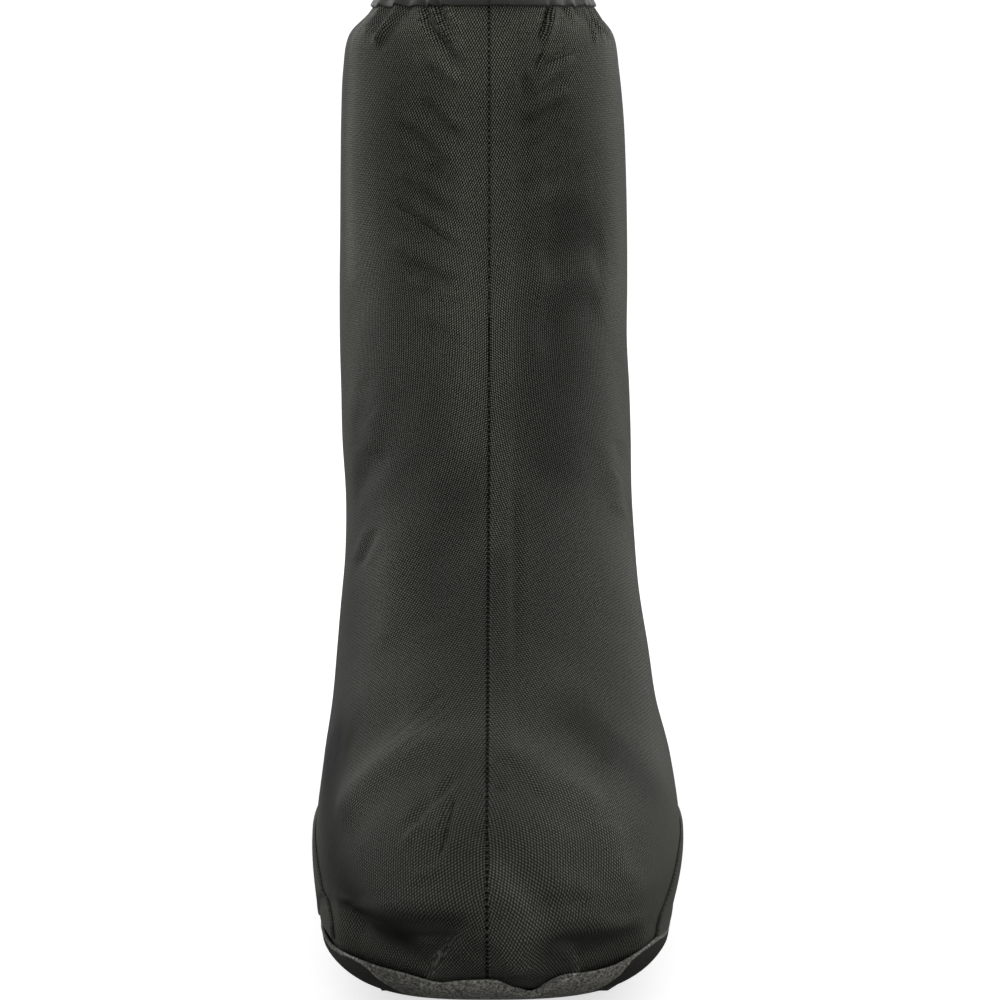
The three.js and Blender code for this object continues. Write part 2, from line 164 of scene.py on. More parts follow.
def body(level, turn):
    """A point of the smooth outside, in millimetres from the seam plane, the toe and the floor."""
    level, turn = np.broadcast_arrays(np.asarray(level, float), np.asarray(turn, float))
    ring = ring_at(level)
    lateral = turn <= math.pi
    along = ring[..., FRONT] + (ring[..., BACK] - ring[..., FRONT]) * (1 - np.cos(turn)) / 2
    toe = quarter((along - ring[..., FRONT]) / ring[..., ROUND], ring[..., BLUNT])
    heel = quarter((ring[..., BACK] - along) / ring[..., HEEL])
    narrow = 1 - ring[..., WAIST] * ease((along / FOOT_LENGTH - 0.30) / 0.45)
    across = np.where(lateral, ring[..., LATERAL], -ring[..., MEDIAL]) * narrow * toe * heel
    return np.stack([across, along, ring[..., LIFT] + floor_rise(along, ring[..., SPRING])], -1)


def normal(level, turn):
    step = 0.004
    around = body(level, turn + step) - body(level, np.maximum(0.0, turn - step))
    up = body(np.minimum(TOP_LEVEL, level + step), turn) - body(np.maximum(0.0, level - step), turn)
    n = np.cross(around, up)
    return n / np.maximum(1e-9, np.linalg.norm(n, axis=-1, keepdims=True))


def turn_at(level, along):
    ring = ring_at(level)
    share = (along - ring[..., FRONT]) / (ring[..., BACK] - ring[..., FRONT])
    return np.arccos(np.clip(1 - 2 * share, -1, 1))


def table_curve(table, at):
    """A smooth curve through a table of places and values."""
    places = np.array([row[0] for row in table])
    values = np.array([row[1] for row in table])
    i = np.clip(np.searchsorted(places, at, side="right") - 1, 0, len(table) - 2)
    rows = np.arange(len(table))
    before, after = np.maximum(rows - 1, 0), np.minimum(rows + 1, len(table) - 1)
    slope = (values[after] - values[before]) / (places[after] - places[before])
    span = places[i + 1] - places[i]
    t = np.clip((at - places[i]) / span, 0, 1)
    start = ease(1 - t) * values[i] + t * (1 - t) ** 2 * span * slope[i]
    return start + ease(t) * values[i + 1] - t * t * (1 - t) * span * slope[i + 1]


# The front seam: s runs up it from the toe band, t goes round the girth from it, + on the outer side
SEAM_START_LEVEL = 0.30
SEAM_FOOT_LEVEL = 0.46
GIRTH_RADIUS = 53.0
SEAM_BLEND = 1.5
SEAM_BATCH = 8000
SEAM_LEVELS = np.linspace(SEAM_START_LEVEL, TOP_LEVEL, 520)
SEAM_LINE = body(SEAM_LEVELS, np.zeros_like(SEAM_LEVELS))[:, 1:]
SEAM_S = np.concatenate([[0], np.cumsum(np.linalg.norm(np.diff(SEAM_LINE, axis=0), axis=1))])
SEAM_S -= np.interp(SEAM_FOOT_LEVEL, SEAM_LEVELS, SEAM_S)


def seam_places(points):
    """s and girth t of points: the nearest place of the seam seen from the side, and the way round."""
    flat = points.reshape(-1, 3)
    s, depth = np.empty(len(flat)), np.empty(len(flat))
    for start in range(0, len(flat), SEAM_BATCH):
        batch = slice(start, start + SEAM_BATCH)
        distance = np.sqrt(((flat[batch, None, 1:] - SEAM_LINE) ** 2).sum(-1))
        nearest = distance.min(1, keepdims=True)
        weight = np.exp((nearest - distance) / SEAM_BLEND)
        weight /= weight.sum(1, keepdims=True)
        s[batch] = weight @ SEAM_S
        depth[batch] = nearest[:, 0]
    across = np.abs(flat[:, 0])
    curved = GIRTH_RADIUS * np.arctan2(across, np.maximum(GIRTH_RADIUS - depth, 1e-6))
    t = np.where(depth < GIRTH_RADIUS, curved, GIRTH_RADIUS * math.pi / 2 + depth - GIRTH_RADIUS)
    shape = points.shape[:-1]
    return s.reshape(shape), t.reshape(shape)


# The two side panels laid flat, which is how the weave runs: first as the rings lie, then with the lengths
# between neighbouring places made true, while a smoothing that dies out keeps the panel free of folds
PANEL_ROWS = 72
PANEL_COLUMNS = 48
PANEL_ROUNDS = 500
PANEL_POWER = 1.3


def flat_panel(side):
    levels = np.interp(np.linspace(SEAM_S[0], SEAM_S[-1], PANEL_ROWS), SEAM_S, SEAM_LEVELS)[:, None]
    turns = math.pi * np.linspace(0, 1, PANEL_COLUMNS)[None, :] ** PANEL_POWER
    points = body(levels, turns if side > 0 else 2 * math.pi - turns)
    girth = np.linalg.norm(np.diff(points, axis=1), axis=-1).cumsum(1)
    girth = np.concatenate([np.zeros((PANEL_ROWS, 1)), girth], 1)
    flat = np.stack([points[:, :1, 1] + girth, points[..., 2]], -1)
    pairs = (
        ((slice(None), slice(1, None)), (slice(None), slice(None, -1))),
        ((slice(1, None), slice(None)), (slice(None, -1), slice(None))),
        ((slice(1, None), slice(1, None)), (slice(None, -1), slice(None, -1))),
        ((slice(1, None), slice(None, -1)), (slice(None, -1), slice(1, None))),
    )
    true = [np.linalg.norm(points[one] - points[other], axis=-1) for one, other in pairs]
    count = np.zeros(flat.shape[:2])
    for one, other in pairs:
        count[one] += 1
        count[other] += 1
    for k in range(PANEL_ROUNDS):
        move = np.zeros_like(flat)
        for (one, other), length in zip(pairs, true):
            gap = flat[one] - flat[other]
            now = np.maximum(np.linalg.norm(gap, axis=-1), 1e-6)
            step = gap * (0.5 * (length - now) / now)[..., None]
            move[one] += step
            move[other] -= step
        flat += 1.2 * move / count[..., None]
        smooth = 0.6 * max(0.0, 1 - k / (0.7 * PANEL_ROUNDS)) ** 2
        middle = (flat[1:-1, :-2] + flat[1:-1, 2:] + flat[:-2, 1:-1] + flat[2:, 1:-1]) / 4
        flat[1:-1, 1:-1] += smooth * (middle - flat[1:-1, 1:-1])
        flat[1:-1, 0] += smooth * ((flat[:-2, 0] + flat[2:, 0]) / 2 - flat[1:-1, 0])
    return flat


FLAT_PANELS = {1: flat_panel(1), -1: flat_panel(-1)}


def weave_places(level, turn):
    """Where points lie on the flat panels, which gives the weave its run."""
    level, turn = np.broadcast_arrays(np.asarray(level, float), np.asarray(turn, float))
    row = (np.interp(level, SEAM_LEVELS, SEAM_S) - SEAM_S[0]) / (SEAM_S[-1] - SEAM_S[0]) * (PANEL_ROWS - 1)
    half = np.minimum(turn, 2 * math.pi - turn)
    column = (half / math.pi) ** (1 / PANEL_POWER) * (PANEL_COLUMNS - 1)

    def steps(place, count):
        i = np.clip(np.floor(place).astype(int), 0, count - 2)
        f = place - i
        shares = ((2 * f * f - f - f ** 3) / 2, (2 - 5 * f * f + 3 * f ** 3) / 2,
                  (f + 4 * f * f - 3 * f ** 3) / 2, (f ** 3 - f * f) / 2)
        return [(np.clip(i + k - 1, 0, count - 1), share) for k, share in enumerate(shares)]

    out = np.zeros((*level.shape, 2))
    lateral = (turn <= math.pi)[..., None]
    for r, row_share in steps(row, PANEL_ROWS):
        for c, column_share in steps(column, PANEL_COLUMNS):
            place = np.where(lateral, FLAT_PANELS[1][r, c], FLAT_PANELS[-1][r, c])
            out += place * (row_share * column_share)[..., None]
    return out


# Soft folds on the seam's map: height, + a ridge, - a trough, then half width, then s, t of each place
FOLDS = (
    # Feather creases of the inner side, down towards the seam
    (-2.02, 1.3, 359, -24, 352, -22, 343, -15, 336, -10),
    (1.21, 1.6, 359, -21, 352, -18.5, 344, -12.5),
    (-1.4, 1.2, 359, -19.5, 353.5, -16.4, 347, -13, 343.5, -11),
    (1.01, 1.5, 359, -17, 353, -13.5, 348, -10.5),
    (1.21, 1.8, 340, -22, 334.5, -15.4, 329.6, -10),
    (-1.21, 1.7, 336, -22.5, 331, -17, 326, -11),
    (1.21, 1.9, 328, -24, 321.7, -17, 314.7, -10),
    (-1.31, 1.8, 324, -25, 318, -18, 311.6, -11.5),
    (1.01, 2.0, 320, -32, 312.3, -22.4, 304.3, -12.5),
    (-1.21, 2.0, 317, -33, 309.5, -24, 300, -13),
    (-1.21, 2.0, 303, -21, 297, -12.5),
    (0.81, 2.0, 302, -34, 297, -24, 290, -14),
    (-1.1, 1.1, 291, -36, 285.6, -26, 276.3, -12),
    (1.21, 1.9, 289, -25, 282.5, -17, 276.3, -9.8),
    (1.01, 2.1, 279, -36.5, 273, -24, 265.5, -10.8),
    (-1.01, 2.0, 271, -31.5, 266, -20.6, 260.3, -12),
    (0.91, 2.0, 267, -27, 261, -18, 256, -10),
    (-1.21, 2.0, 263, -22, 254.8, -10.8),
    (0.81, 2.2, 256, -24, 249, -16, 243, -9),
    (-0.81, 2.2, 250, -22, 243, -14, 236, -9),
    # Edges of the flat front panel
    (-0.35, 3.0, 330, -10.5, 300, -10.5, 275, -10, 245, -9.5, 222, -9),
    (-0.45, 3.0, 330, 12.5, 300, 12, 276, 12, 242, 12, 215, 11),
    (-0.5, 1.6, 192, 7.6, 170, 8.2, 140, 8.2, 112, 7.8),
    # Feather creases of the outer side
    (-1.79, 1.0, 357.3, 23, 351.5, 20.4, 345.6, 17.9),
    (1.14, 1.4, 357.3, 25.5, 351.5, 23, 345.6, 20.4),
    (-1.62, 1.0, 341.4, 20, 338.3, 18.2, 334.8, 16.1),
    (-1.46, 1.8, 332.5, 12.2, 327.5, 12),
    (-0.65, 1.1, 342.8, 34.5, 340, 26, 336.2, 18.6),
    (0.98, 2.0, 341, 32.5, 333, 23, 324, 14),
    (-0.81, 2.0, 332, 31, 327.5, 19.6, 321.7, 11.6),
    (0.81, 1.9, 328, 31, 324, 20.6, 318.5, 12.2),
    (-0.69, 2.2, 323, 27, 318, 19.6, 313.5, 12.5),
    (-0.52, 2.2, 313, 31, 308, 17),
    (-0.61, 2.4, 307, 26, 302.9, 11.9),
    (-0.49, 2.6, 302, 36, 296, 20),
    (0.4, 3.0, 296, 30, 289, 12),
    (-0.4, 3.0, 289, 36, 283, 18),
    (1.3, 5.0, 272, 44, 267, 25, 261, 12),
    (-1.3, 6.0, 281, 48, 275, 34, 270, 18),
    (-0.98, 6.0, 262, 46, 252, 30, 244, 15),
    # Gathers under the collar
    (1.6, 2.0, 361, -36, 356, -38, 351, -42, 348, -47),
    (-1.0, 2.4, 359, -43, 355, -46, 352, -50),
    (1.0, 2.4, 359, -50, 353, -55),
    (-0.8, 1.6, 359, -31, 354, -32),
    (0.8, 1.3, 359, 42, 356, 44.5, 348, 46.5),
    (-0.8, 1.2, 358, 48.5, 353, 48.5),
    (0.8, 1.2, 358, 52.5, 352, 52),
    (-0.7, 1.2, 358, 57, 351, 56),
    (0.7, 1.3, 358, 62, 351, 60),
    (-0.8, 1.6, 359, 38, 355, 38),
    (-0.6, 1.3, 358, 30, 355, 30.5),
    (0.6, 1.4, 358, 33.5, 354, 34),
    # Slack of the inner side of the ankle
    (-0.6, 5.0, 238, -50, 229, -51, 224, -58),
    (0.7, 6.0, 224, -45, 217, -43, 210, -46),
    (-0.7, 5.0, 207, -36, 205, -47, 201, -58),
    (-1.0, 3.0, 181, -42, 175, -45, 170, -49),
    (1.1, 7.0, 178, -32, 160, -33, 126, -31),
    (-0.8, 7.0, 166, -18, 150, -19, 128, -18),
    (0.9, 6.0, 207, 53, 202, 52, 192, 54),
    (-0.6, 5.0, 219, 54, 212, 57),
    # Instep: a soft arch over the toe, with creases inside it
    (1.3, 6.0, 72, -52, 76, -39, 80, -31, 84, -21, 84, -12),
    (1.0, 5.5, 80, 3, 74, 10, 69, 16, 66, 25, 64, 34),
    (-0.9, 8.0, 98, -48, 96, -36, 98, -24),
    (-0.9, 7.0, 92, 20, 85, 28, 80, 36),
    (-0.4, 1.3, 87, -31, 94, -22, 103, -12),
    (-0.4, 1.3, 83, -30, 90, -20, 98, -11),
    (-0.35, 1.3, 80, -27, 86, -19, 92, -11),
    (-1.0, 1.2, 68, -9, 65, -11, 61, -13, 57, -15),
    (-0.9, 2.4, 59, -17, 55, -18, 51, -21),
    (0.8, 1.3, 61, -12, 54, -17, 45, -25),
    (-1.1, 1.1, 59, -9, 55, -10.5, 50, -11, 45, -11.5, 39, -14),
    (-1.0, 2.4, 47, -14, 42, -15.5),
    (0.6, 1.4, 37, -12, 35, -16, 34, -21),
    (0.6, 1.6, 72, -3, 66, -4, 60, -3),
    (-0.8, 1.8, 64, 3, 60, 3.5),
    (-0.6, 1.6, 74, 4, 69, 7),
    (-0.8, 1.8, 47, -1.5, 43, -2),
    (-0.5, 1.3, 64, 12, 59, 15),
    (-1.0, 3.2, 46, 4, 38, 5, 31, 10, 26, 15, 23, 21),
    (1.6, 3.6, 32, 4, 26, 8, 19, 10, 11, 9, 3, 7),
    (0.8, 4.0, 33, 17, 31, 22, 30, 28),
    (-0.8, 3.0, 29, 22, 24, 28),
    (0.8, 6.0, 60, 36, 48, 39, 34, 44),
    # Toe, tucked in above the sole
    (1.3, 6.0, 13, -18, 7, -15, -1, -13),
    (1.2, 4.0, 8, 10, 3, 12, 0, 14),
    (-0.8, 1.6, 16, -5, 9, -3),
)

# Edges that stand over what is below them, and toe cloth that is drawn in below a line, in the same form
LAPS = ((0.5, 2.0, 226, -18, 221, -9, 221, -1),)
TUCKS = (
    (6.0, 5.5, 13, -57, 17, -45, 20.5, -30, 22.5, -16, 22, -6, 17, -1.5),
    (5.0, 5.5, -2, 50, 8, 41, 15.5, 33, 18, 26, 17, 19, 12, 15),
)

# Steps between two places of a fold, and the share of its length over which it dies out at each end
FOLD_STEPS = 6
END_FADE = 0.22

# Light and shade painted into the slack cloth's colour, + paler where light falls, - darker where shade
# falls: share, half width, s, t of each place
PAINTED_LIGHT_AND_SHADE = (
    # Painted light and shade on the lit and shaded sides of the feather creases
    (0.35, 1.9, 355, -25, 344, -19.5, 332.5, -12),
    (-0.35, 1.6, 356, -21, 346, -15.5, 337, -10),
    (0.25, 1.8, 355, -15, 344, -10),
    (0.28, 2.4, 340, -27, 329, -11),
    (-0.32, 2.0, 328, -23, 313, -10),
    (0.22, 2.4, 325, -27, 317, -13),
    (-0.3, 2.4, 302, -20, 297, -12),
    (-0.22, 2.6, 294, -22, 288, -13),
    (0.18, 3.0, 310, -28, 303, -14),
    (-0.35, 1.6, 357, 24.5, 344, 18.5),
    (-0.35, 1.8, 338, 21.5, 327, 12.7),
    (0.26, 2.4, 335, 24, 325, 14.5),
    (-0.26, 2.2, 322, 18, 318, 12),
    (-0.2, 2.2, 317, 24, 310, 14),
    (0.22, 2.4, 313, 25, 306, 14.5),
    (-0.22, 2.4, 302, 17, 298, 12),
    (0.15, 3.0, 297, 25, 289, 13),
    # Broad light and shade painted on the cloth, with painted shade in the toe's pools and painted highlights
    # along the edges
    (0.26, 9.0, 352, -25, 322, -24),
    (-0.16, 14.0, 72, -6, 44, -4),
    (0.18, 34.0, 352, 0, 275, 0),
    (0.45, 16.0, 360, 34, 338, 34),
    (0.42, 12.0, 352, 62, 310, 63, 270, 60),
    (0.2, 12.0, 350, -50, 280, -52),
    (-0.12, 20.0, 215, -4, 130, 0),
    (0.22, 15.0, 62, 30, 44, 42),
    (0.12, 12.0, 82, -24, 86, 0, 80, 20),
    (0.3, 5.0, 345, 3, 257, 4, 213, 3.5, 180, 3, 163, 2),
    (0.36, 8.0, 352, -9, 300, -9, 240, -8, 205, -7),
    (0.45, 14.0, 358, -24, 344, -8, 344, 8, 358, 24),
    (0.34, 11.0, 350, 58, 260, 58, 180, 60, 100, 60),
    (0.34, 9.0, 350, -58, 260, -58, 238, -58),
    (0.22, 9.0, 330, -6, 267, -6, 228, -5),
    (0.9, 5.0, 356, -64, 300, -63, 276, -62),
    (-0.3, 11.0, 285, 28, 268, 27, 238, 24, 200, 22),
    (-0.12, 10.0, 285, 44, 240, 36, 205, 30),
    (-0.14, 9.0, 192, 22, 160, 21, 130, 20),
    (0.12, 5.0, 271, 39, 267, 25, 262, 14),
    (-0.16, 11.0, 206, -20, 194, -31, 182, -14),
    (-0.46, 9.0, 222, -52, 190, -54, 140, -54, 100, -54),
    (0.16, 8.0, 164, -34, 137, -32, 112, -30, 96, -27),
    (-0.14, 7.0, 166, -17, 150, -18, 128, -16),
    (0.16, 6.0, 76, -38, 82, -30, 86, -20, 86, -8),
    (0.12, 7.0, 88, 4, 78, 10, 69, 18, 64, 33),
    (-0.8, 12.0, 100, -58, 66, -58, 44, -54, 26, -48),
    (-0.4, 9.0, 96, 28, 88, 38, 84, 50),
    (-0.62, 9.0, 14, -44, 15, -30, 14, -16),
    (-0.5, 7.0, 4, -38, 5, -28),
    (-0.45, 6.5, 12, 20, 10, 29, 4, 38),
    (0.36, 6.0, 34, 4, 26, 8, 18, 10, 8, 9),
    (0.34, 5.0, 13, -18, 8, -15, 0, -13),
    (0.25, 8.0, 286, -50, 262, -48),
)




def smooth_path(places):
    """A fold's line with steps between its places, rounded."""
    p = np.reshape(np.array(places, float), (-1, 2))
    if len(p) < 3:
        return p
    padded = np.concatenate([[2 * p[0] - p[1]], p, [2 * p[-1] - p[-2]]])
    out = []
    for i in range(len(p) - 1):
        a, b, c, d = padded[i:i + 4]
        for k in range(FOLD_STEPS):
            t = k / FOLD_STEPS
            bend = (2 * a - 5 * b + 4 * c - d) * t * t + (3 * b - a - 3 * c + d) * t ** 3
            out.append(b + 0.5 * ((c - a) * t + bend))
    out.append(p[-1])
    return np.array(out)


def line_distance(places, s, t):
    """Distance to a line, share of its length at the nearest place, and the side, + above."""
    best = np.full(s.shape, 1e9)
    share = np.zeros(s.shape)
    side = np.ones(s.shape)
    lengths = np.linalg.norm(np.diff(places, axis=0), axis=1)
    run = np.concatenate([[0], np.cumsum(lengths)])
    for i, length in enumerate(lengths):
        ds, dt = (places[i + 1] - places[i]) / length
        along = np.clip((s - places[i, 0]) * ds + (t - places[i, 1]) * dt, 0, length)
        off_s, off_t = s - places[i, 0] - along * ds, t - places[i, 1] - along * dt
        distance = np.hypot(off_s, off_t)
        nearer = distance < best
        best = np.where(nearer, distance, best)
        share = np.where(nearer, (run[i] + along) / run[-1], share)
        side = np.where(nearer, np.sign(off_s * abs(dt) + off_t * -np.sign(dt) * ds + 1e-9), side)
    return best, share, side


def lines_near(table, s, t, reach, widths=0.0):
    """For each line of a table its size, half width, the points within reach, and how they lie to it."""
    for size, width, *places in table:
        path = smooth_path(places)
        around = reach + widths * width
        low, high = path.min(0) - around, path.max(0) + around
        near = (s > low[0]) & (s < high[0]) & (t > low[1]) & (t < high[1])
        if near.any():
            yield size, width, near, *line_distance(path, s[near], t[near])


def faded(share):
    return ease(share / END_FADE + 0.25) * ease((1 - share) / END_FADE + 0.25)


def fold_height(s, t):
    """What the folds add to the surface, in millimetres outwards."""
    height = np.zeros(s.shape)
    for size, width, near, distance, share, _ in lines_near(FOLDS, s, t, 0.0, 5.0):
        rise = bell(distance, width) - 0.28 * bell(distance - 2.1 * width, 0.9 * width)
        height[near] += size * rise * faded(share)
    for size, width, near, distance, share, side in lines_near(LAPS, s, t, 16.0):
        rise = 0.5 * (np.tanh(side * distance / width) - 1.0) * bell(distance, 13.0)
        rise += 0.35 * np.exp(-np.abs(distance * side - 2.5) / 4.0)
        height[near] += size * rise * faded(share)
    for size, width, near, distance, share, side in lines_near(TUCKS, s, t, 24.0):
        drawn = np.where(side < 0, np.exp(-distance / width) - 1, 0.0)
        height[near] += size * (drawn + 0.16 * bell(distance * side - 3.0, 3.4)) * faded(share)
    return height


def painted_light_and_shade(s, t):
    """Painted light and shade of the slack cloth: how much paler or darker its colour is made, as a share of
    it.
    """
    light_and_shade = np.zeros(s.shape)
    for size, width, near, distance, _, _ in lines_near(PAINTED_LIGHT_AND_SHADE, s, t, 0.0, 2.5):
        light_and_shade[near] += size * bell(distance, width)
    return light_and_shade


def panel_height(s, t):
    """The broad form of the slack cloth: a flat front panel that stands out between two hollows."""
    panel = ease((s - 215) / 35) * ease((362 - s) / 30)
    side = np.abs(t)
    rise = 0.5 * bell(side, 9.5) - 1.2 * bell(side - 21, 10)
    waves = 0.6 * np.sin(s / 11.0 + np.sign(t) * 0.6) * bell(side - 50, 16)
    lower = ease((215 - s) / 30) * ease((s - 95) / 30)
    hollow = -1.0 * bell(t + 9, 8) - 0.9 * bell(side - 27, 12)
    return panel * rise + ease((s - 120) / 60) * waves + lower * hollow


def gather_height(turn, drop):
    """Small gathers that the elastic band pulls into the cloth, which die out below it."""
    wave = np.sin(31 * turn + 1.3 * np.sin(3 * turn)) + 0.6 * np.sin(53 * turn + 2.0)
    side = ease((np.minimum(turn, 2 * math.pi - turn) - 0.75) / 0.35)
    return 0.42 * wave * side * np.exp(-(drop / 13.0) ** 1.5)


def seam_height(s, t):
    """The sewn front seam: a narrow groove, a low ridge on each side and the flat allowance."""
    strip = SEAM_STRIP_RISE * ease(t / 0.8) * ease((SEAM_STRIP + 0.8 - t) / 1.2)
    groove = -0.55 * bell(t, 0.55) + 0.18 * bell(np.abs(t) - 1.5, 0.8)
    pucker = 0.10 * np.sin(s * 2 * math.pi / STITCH_PITCH) * bell(np.abs(t) - 1.0, 0.9)
    return (strip + groove + pucker) * ease((s + 1) / 4)


STITCH_PITCH = 1.9


def mesh_object(name, points, faces, materials, face_material=None, uvs=None):
    """A Blender mesh from millimetre points, with UV maps given for each point or each face corner."""
    mesh = bpy.data.meshes.new(name)
    mesh.from_pydata((points.reshape(-1, 3) * MM + SHIFT).tolist(), [], [tuple(face) for face in faces])
    mesh.polygons.foreach_set("use_smooth", np.ones(len(mesh.polygons), bool))
    for material in materials:
        mesh.materials.append(material)
    if face_material is not None:
        mesh.polygons.foreach_set("material_index", face_material.astype(np.int32))
    corners = np.empty(len(mesh.loops), np.int32)
    mesh.loops.foreach_get("vertex_index", corners)
    for label, values in uvs.items():
        values = values.reshape(-1, 2)
        if len(values) != len(corners):
            values = values[corners]
        mesh.uv_layers.new(name=label).data.foreach_set("uv", values.astype(np.float32).ravel())
    mesh.update()
    return placed(name, mesh)


def placed(name, data):
    made = bpy.data.objects.new(name, data)
    bpy.context.scene.collection.objects.link(made)
    return made


def ring_faces(rows, columns, close_rows=False):
    """Quads of a grid whose columns close on themselves."""
    r = np.arange(rows if close_rows else rows - 1)[:, None]
    c = np.arange(columns)[None, :]
    up, side = (r + 1) % rows, (c + 1) % columns
    quads = np.stack([r * columns + c, r * columns + side, up * columns + side, up * columns + c], -1)
    return quads.reshape(-1, 4)


def body_shift():
    """Where the seam plane, the toe and the floor lie in the row frame."""
    level, turn = np.meshgrid(np.linspace(0, TOP_LEVEL, 200), np.linspace(0, 2 * math.pi, 400), indexing="ij")
    points = body(level, turn)
    low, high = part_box("upper")
    middle = (points.min((0, 1)) + points.max((0, 1))) / 2 * MM
    return np.array([(low.x + high.x) / 2 - middle[0], (low.y + high.y) / 2 - middle[1], 0.0])


SHIFT = body_shift()


def front_turns():
    """Turns of the columns, in one half round: close beside the seam and at the front, wider at the back."""
    near = [0.0, 0.005, 0.011, 0.019, 0.030]
    front = np.linspace(0.045, 1.75, 92)
    rear = np.linspace(1.75, math.pi, 46)[1:]
    return np.concatenate([near, front, rear])


def whole_turns(half):
    return np.concatenate([half, 2 * math.pi - half[-2:0:-1]])


def levels_by_length(start, end, step):
    """Levels that lie evenly along the front seam."""
    low, high = np.interp([start, end], SEAM_LEVELS, SEAM_S)
    count = max(2, int(round((high - low) / step)) + 1)
    return np.interp(np.linspace(low, high, count), SEAM_S, SEAM_LEVELS)


def dressed(level, turn, offset=0.0):
    """Points of the upper's outside with its folds, moved by an offset, and their seam places."""
    points = body(level, turn)
    out = normal(level, turn)
    s, t = seam_places(points)
    signed = np.where(turn <= math.pi, t, -t)
    height = fold_height(s, signed) + panel_height(s, signed)
    height = np.maximum(height, 0) * ease((s + 2) / 6) + np.minimum(height, 0) * ease((s + 7) / 7)
    height += seam_height(s, signed)
    drop = COLLAR_HEIGHT - points[..., 2]
    top_fade = ease(drop / 8.0) * 0.75 + 0.25
    height = height * top_fade + gather_height(turn, drop)
    return points + out * (height + offset)[..., None], s, signed, weave_places(level, turn)


# Height of one row of the cloth's mesh, and a place off the seam's map for what lies inside
CLOTH_STEP = 1.42
OFF_MAP = 99.0


def build_upper(materials):
    half = front_turns()
    turns = whole_turns(half)
    wide = len(turns)
    hidden = np.linspace(0.0, SEAM_START_LEVEL, 4)[:-1]
    levels = np.concatenate([hidden, levels_by_length(SEAM_START_LEVEL, TOP_LEVEL, CLOTH_STEP)])
    level, turn = np.meshgrid(levels, turns, indexing="ij")
    outside, s, t, panel = dressed(level, turn)
    inner_levels = levels[::2] if len(levels) % 2 else np.append(levels[::2], levels[-1])
    inner_turns = turns[::2]
    level_in, turn_in = np.meshgrid(inner_levels[::-1], inner_turns, indexing="ij")
    thickness = UPPER_WALL + 0.6 * ease((TOP_LEVEL - level_in) / 0.6)
    inside, _, _, panel_in = dressed(level_in, turn_in, -thickness)
    rows_out, rows_in = len(levels), len(inner_levels)
    faces_out = ring_faces(rows_out, wide)
    faces_in = ring_faces(rows_in, len(inner_turns)) + rows_out * wide
    joins = []
    base = rows_out * wide
    narrow = len(inner_turns)
    for c in range(narrow):
        a, b, d = 2 * c, 2 * c + 1, (2 * c + 2) % wide
        e, f = base + c, base + (c + 1) % narrow
        top = (rows_out - 1) * wide
        joins += [(top + a, top + b, e), (top + b, f, e), (top + b, top + d, f)]
        last = base + (rows_in - 1) * narrow
        joins += [(b, a, last + c), (b, last + c, last + (c + 1) % narrow), (d, b, last + (c + 1) % narrow)]
    points = np.concatenate([outside.reshape(-1, 3), inside.reshape(-1, 3)])
    faces = [*faces_out.tolist(), *faces_in.tolist(), *joins]
    count_out = len(faces_out)
    kinds = np.array([0] * count_out + [1] * (len(faces) - count_out))
    corners = np.concatenate([np.array(face) for face in faces])
    weave = np.concatenate([panel.reshape(-1, 2), panel_in.reshape(-1, 2)])
    count_in = inside.size // 3
    seam = np.concatenate([np.stack([s, t], -1).reshape(-1, 2), np.full((count_in, 2), OFF_MAP)])[corners]
    # Painted light and shade of the cloth, with the girth beside it
    light_and_shade = np.stack([painted_light_and_shade(s, t), t], -1).reshape(-1, 2)
    light_and_shade = np.concatenate([light_and_shade, np.zeros((count_in, 2))])
    # The rear column belongs to both sides: faces of the inner side take its girth with their own sign
    medial = seam[:4 * count_out].reshape(rows_out - 1, wide, 4, 2)[:, len(half) - 1:, :, 1]
    medial[:] = -np.abs(medial)
    uvs = {"weave": weave, "seam": seam, "light_and_shade": light_and_shade}
    return mesh_object("upper_cloth", points, faces, materials, kinds, uvs)


# Waves of the toe piece's upper edge: girth t, level
TOE_WAVE = (
    (-70, -0.04), (-60, -0.08), (-54, -0.05), (-48, -0.01), (-41, 0.03), (-30, 0.06), (-23, 0.05),
    (-16.4, -0.02), (-12.9, -0.04), (-8, 0.00), (0, 0.02), (3.5, 0.00), (6.7, -0.09), (9.5, -0.14),
    (14.5, -0.23), (17, -0.06), (18.5, 0.00), (21.6, 0.06), (27.8, 0.04), (35.7, 0.03), (43, 0.06),
    (56, 0.05), (70, 0.00),
)

# Level below which the sole's side is painted dark, as painted shade of its underside: girth t, level
UNDERSIDE_SHADE_LINE = (
    (-70, 0.80), (-60, 0.74), (-54, 0.74), (-48, 0.73), (-42, 0.73), (-34.6, 0.65), (-30.7, 0.52),
    (-27.8, 0.36), (-25.7, 0.15), (-22, 0.00), (0, 0.00), (28, 0.00), (32.7, 0.22), (35.7, 0.42),
    (40.4, 0.66), (45.6, 0.77), (53, 0.83), (60, 0.85), (70, 0.82),
)

# The sole cloth: its thickness at the rim, from where it thins, its rounded crown, and its rows of points
RIM_EDGE = 0.8
RIM_CROWN = 0.014
TAPER_START = 0.80
CORNER_LEVEL = 0.6
FLOOR_ROWS, WALL_ROWS, ROUND_ROWS, INNER_ROWS, SEAT_ROWS = 10, 24, 7, 8, 5
UPRIGHT_ROW = 14


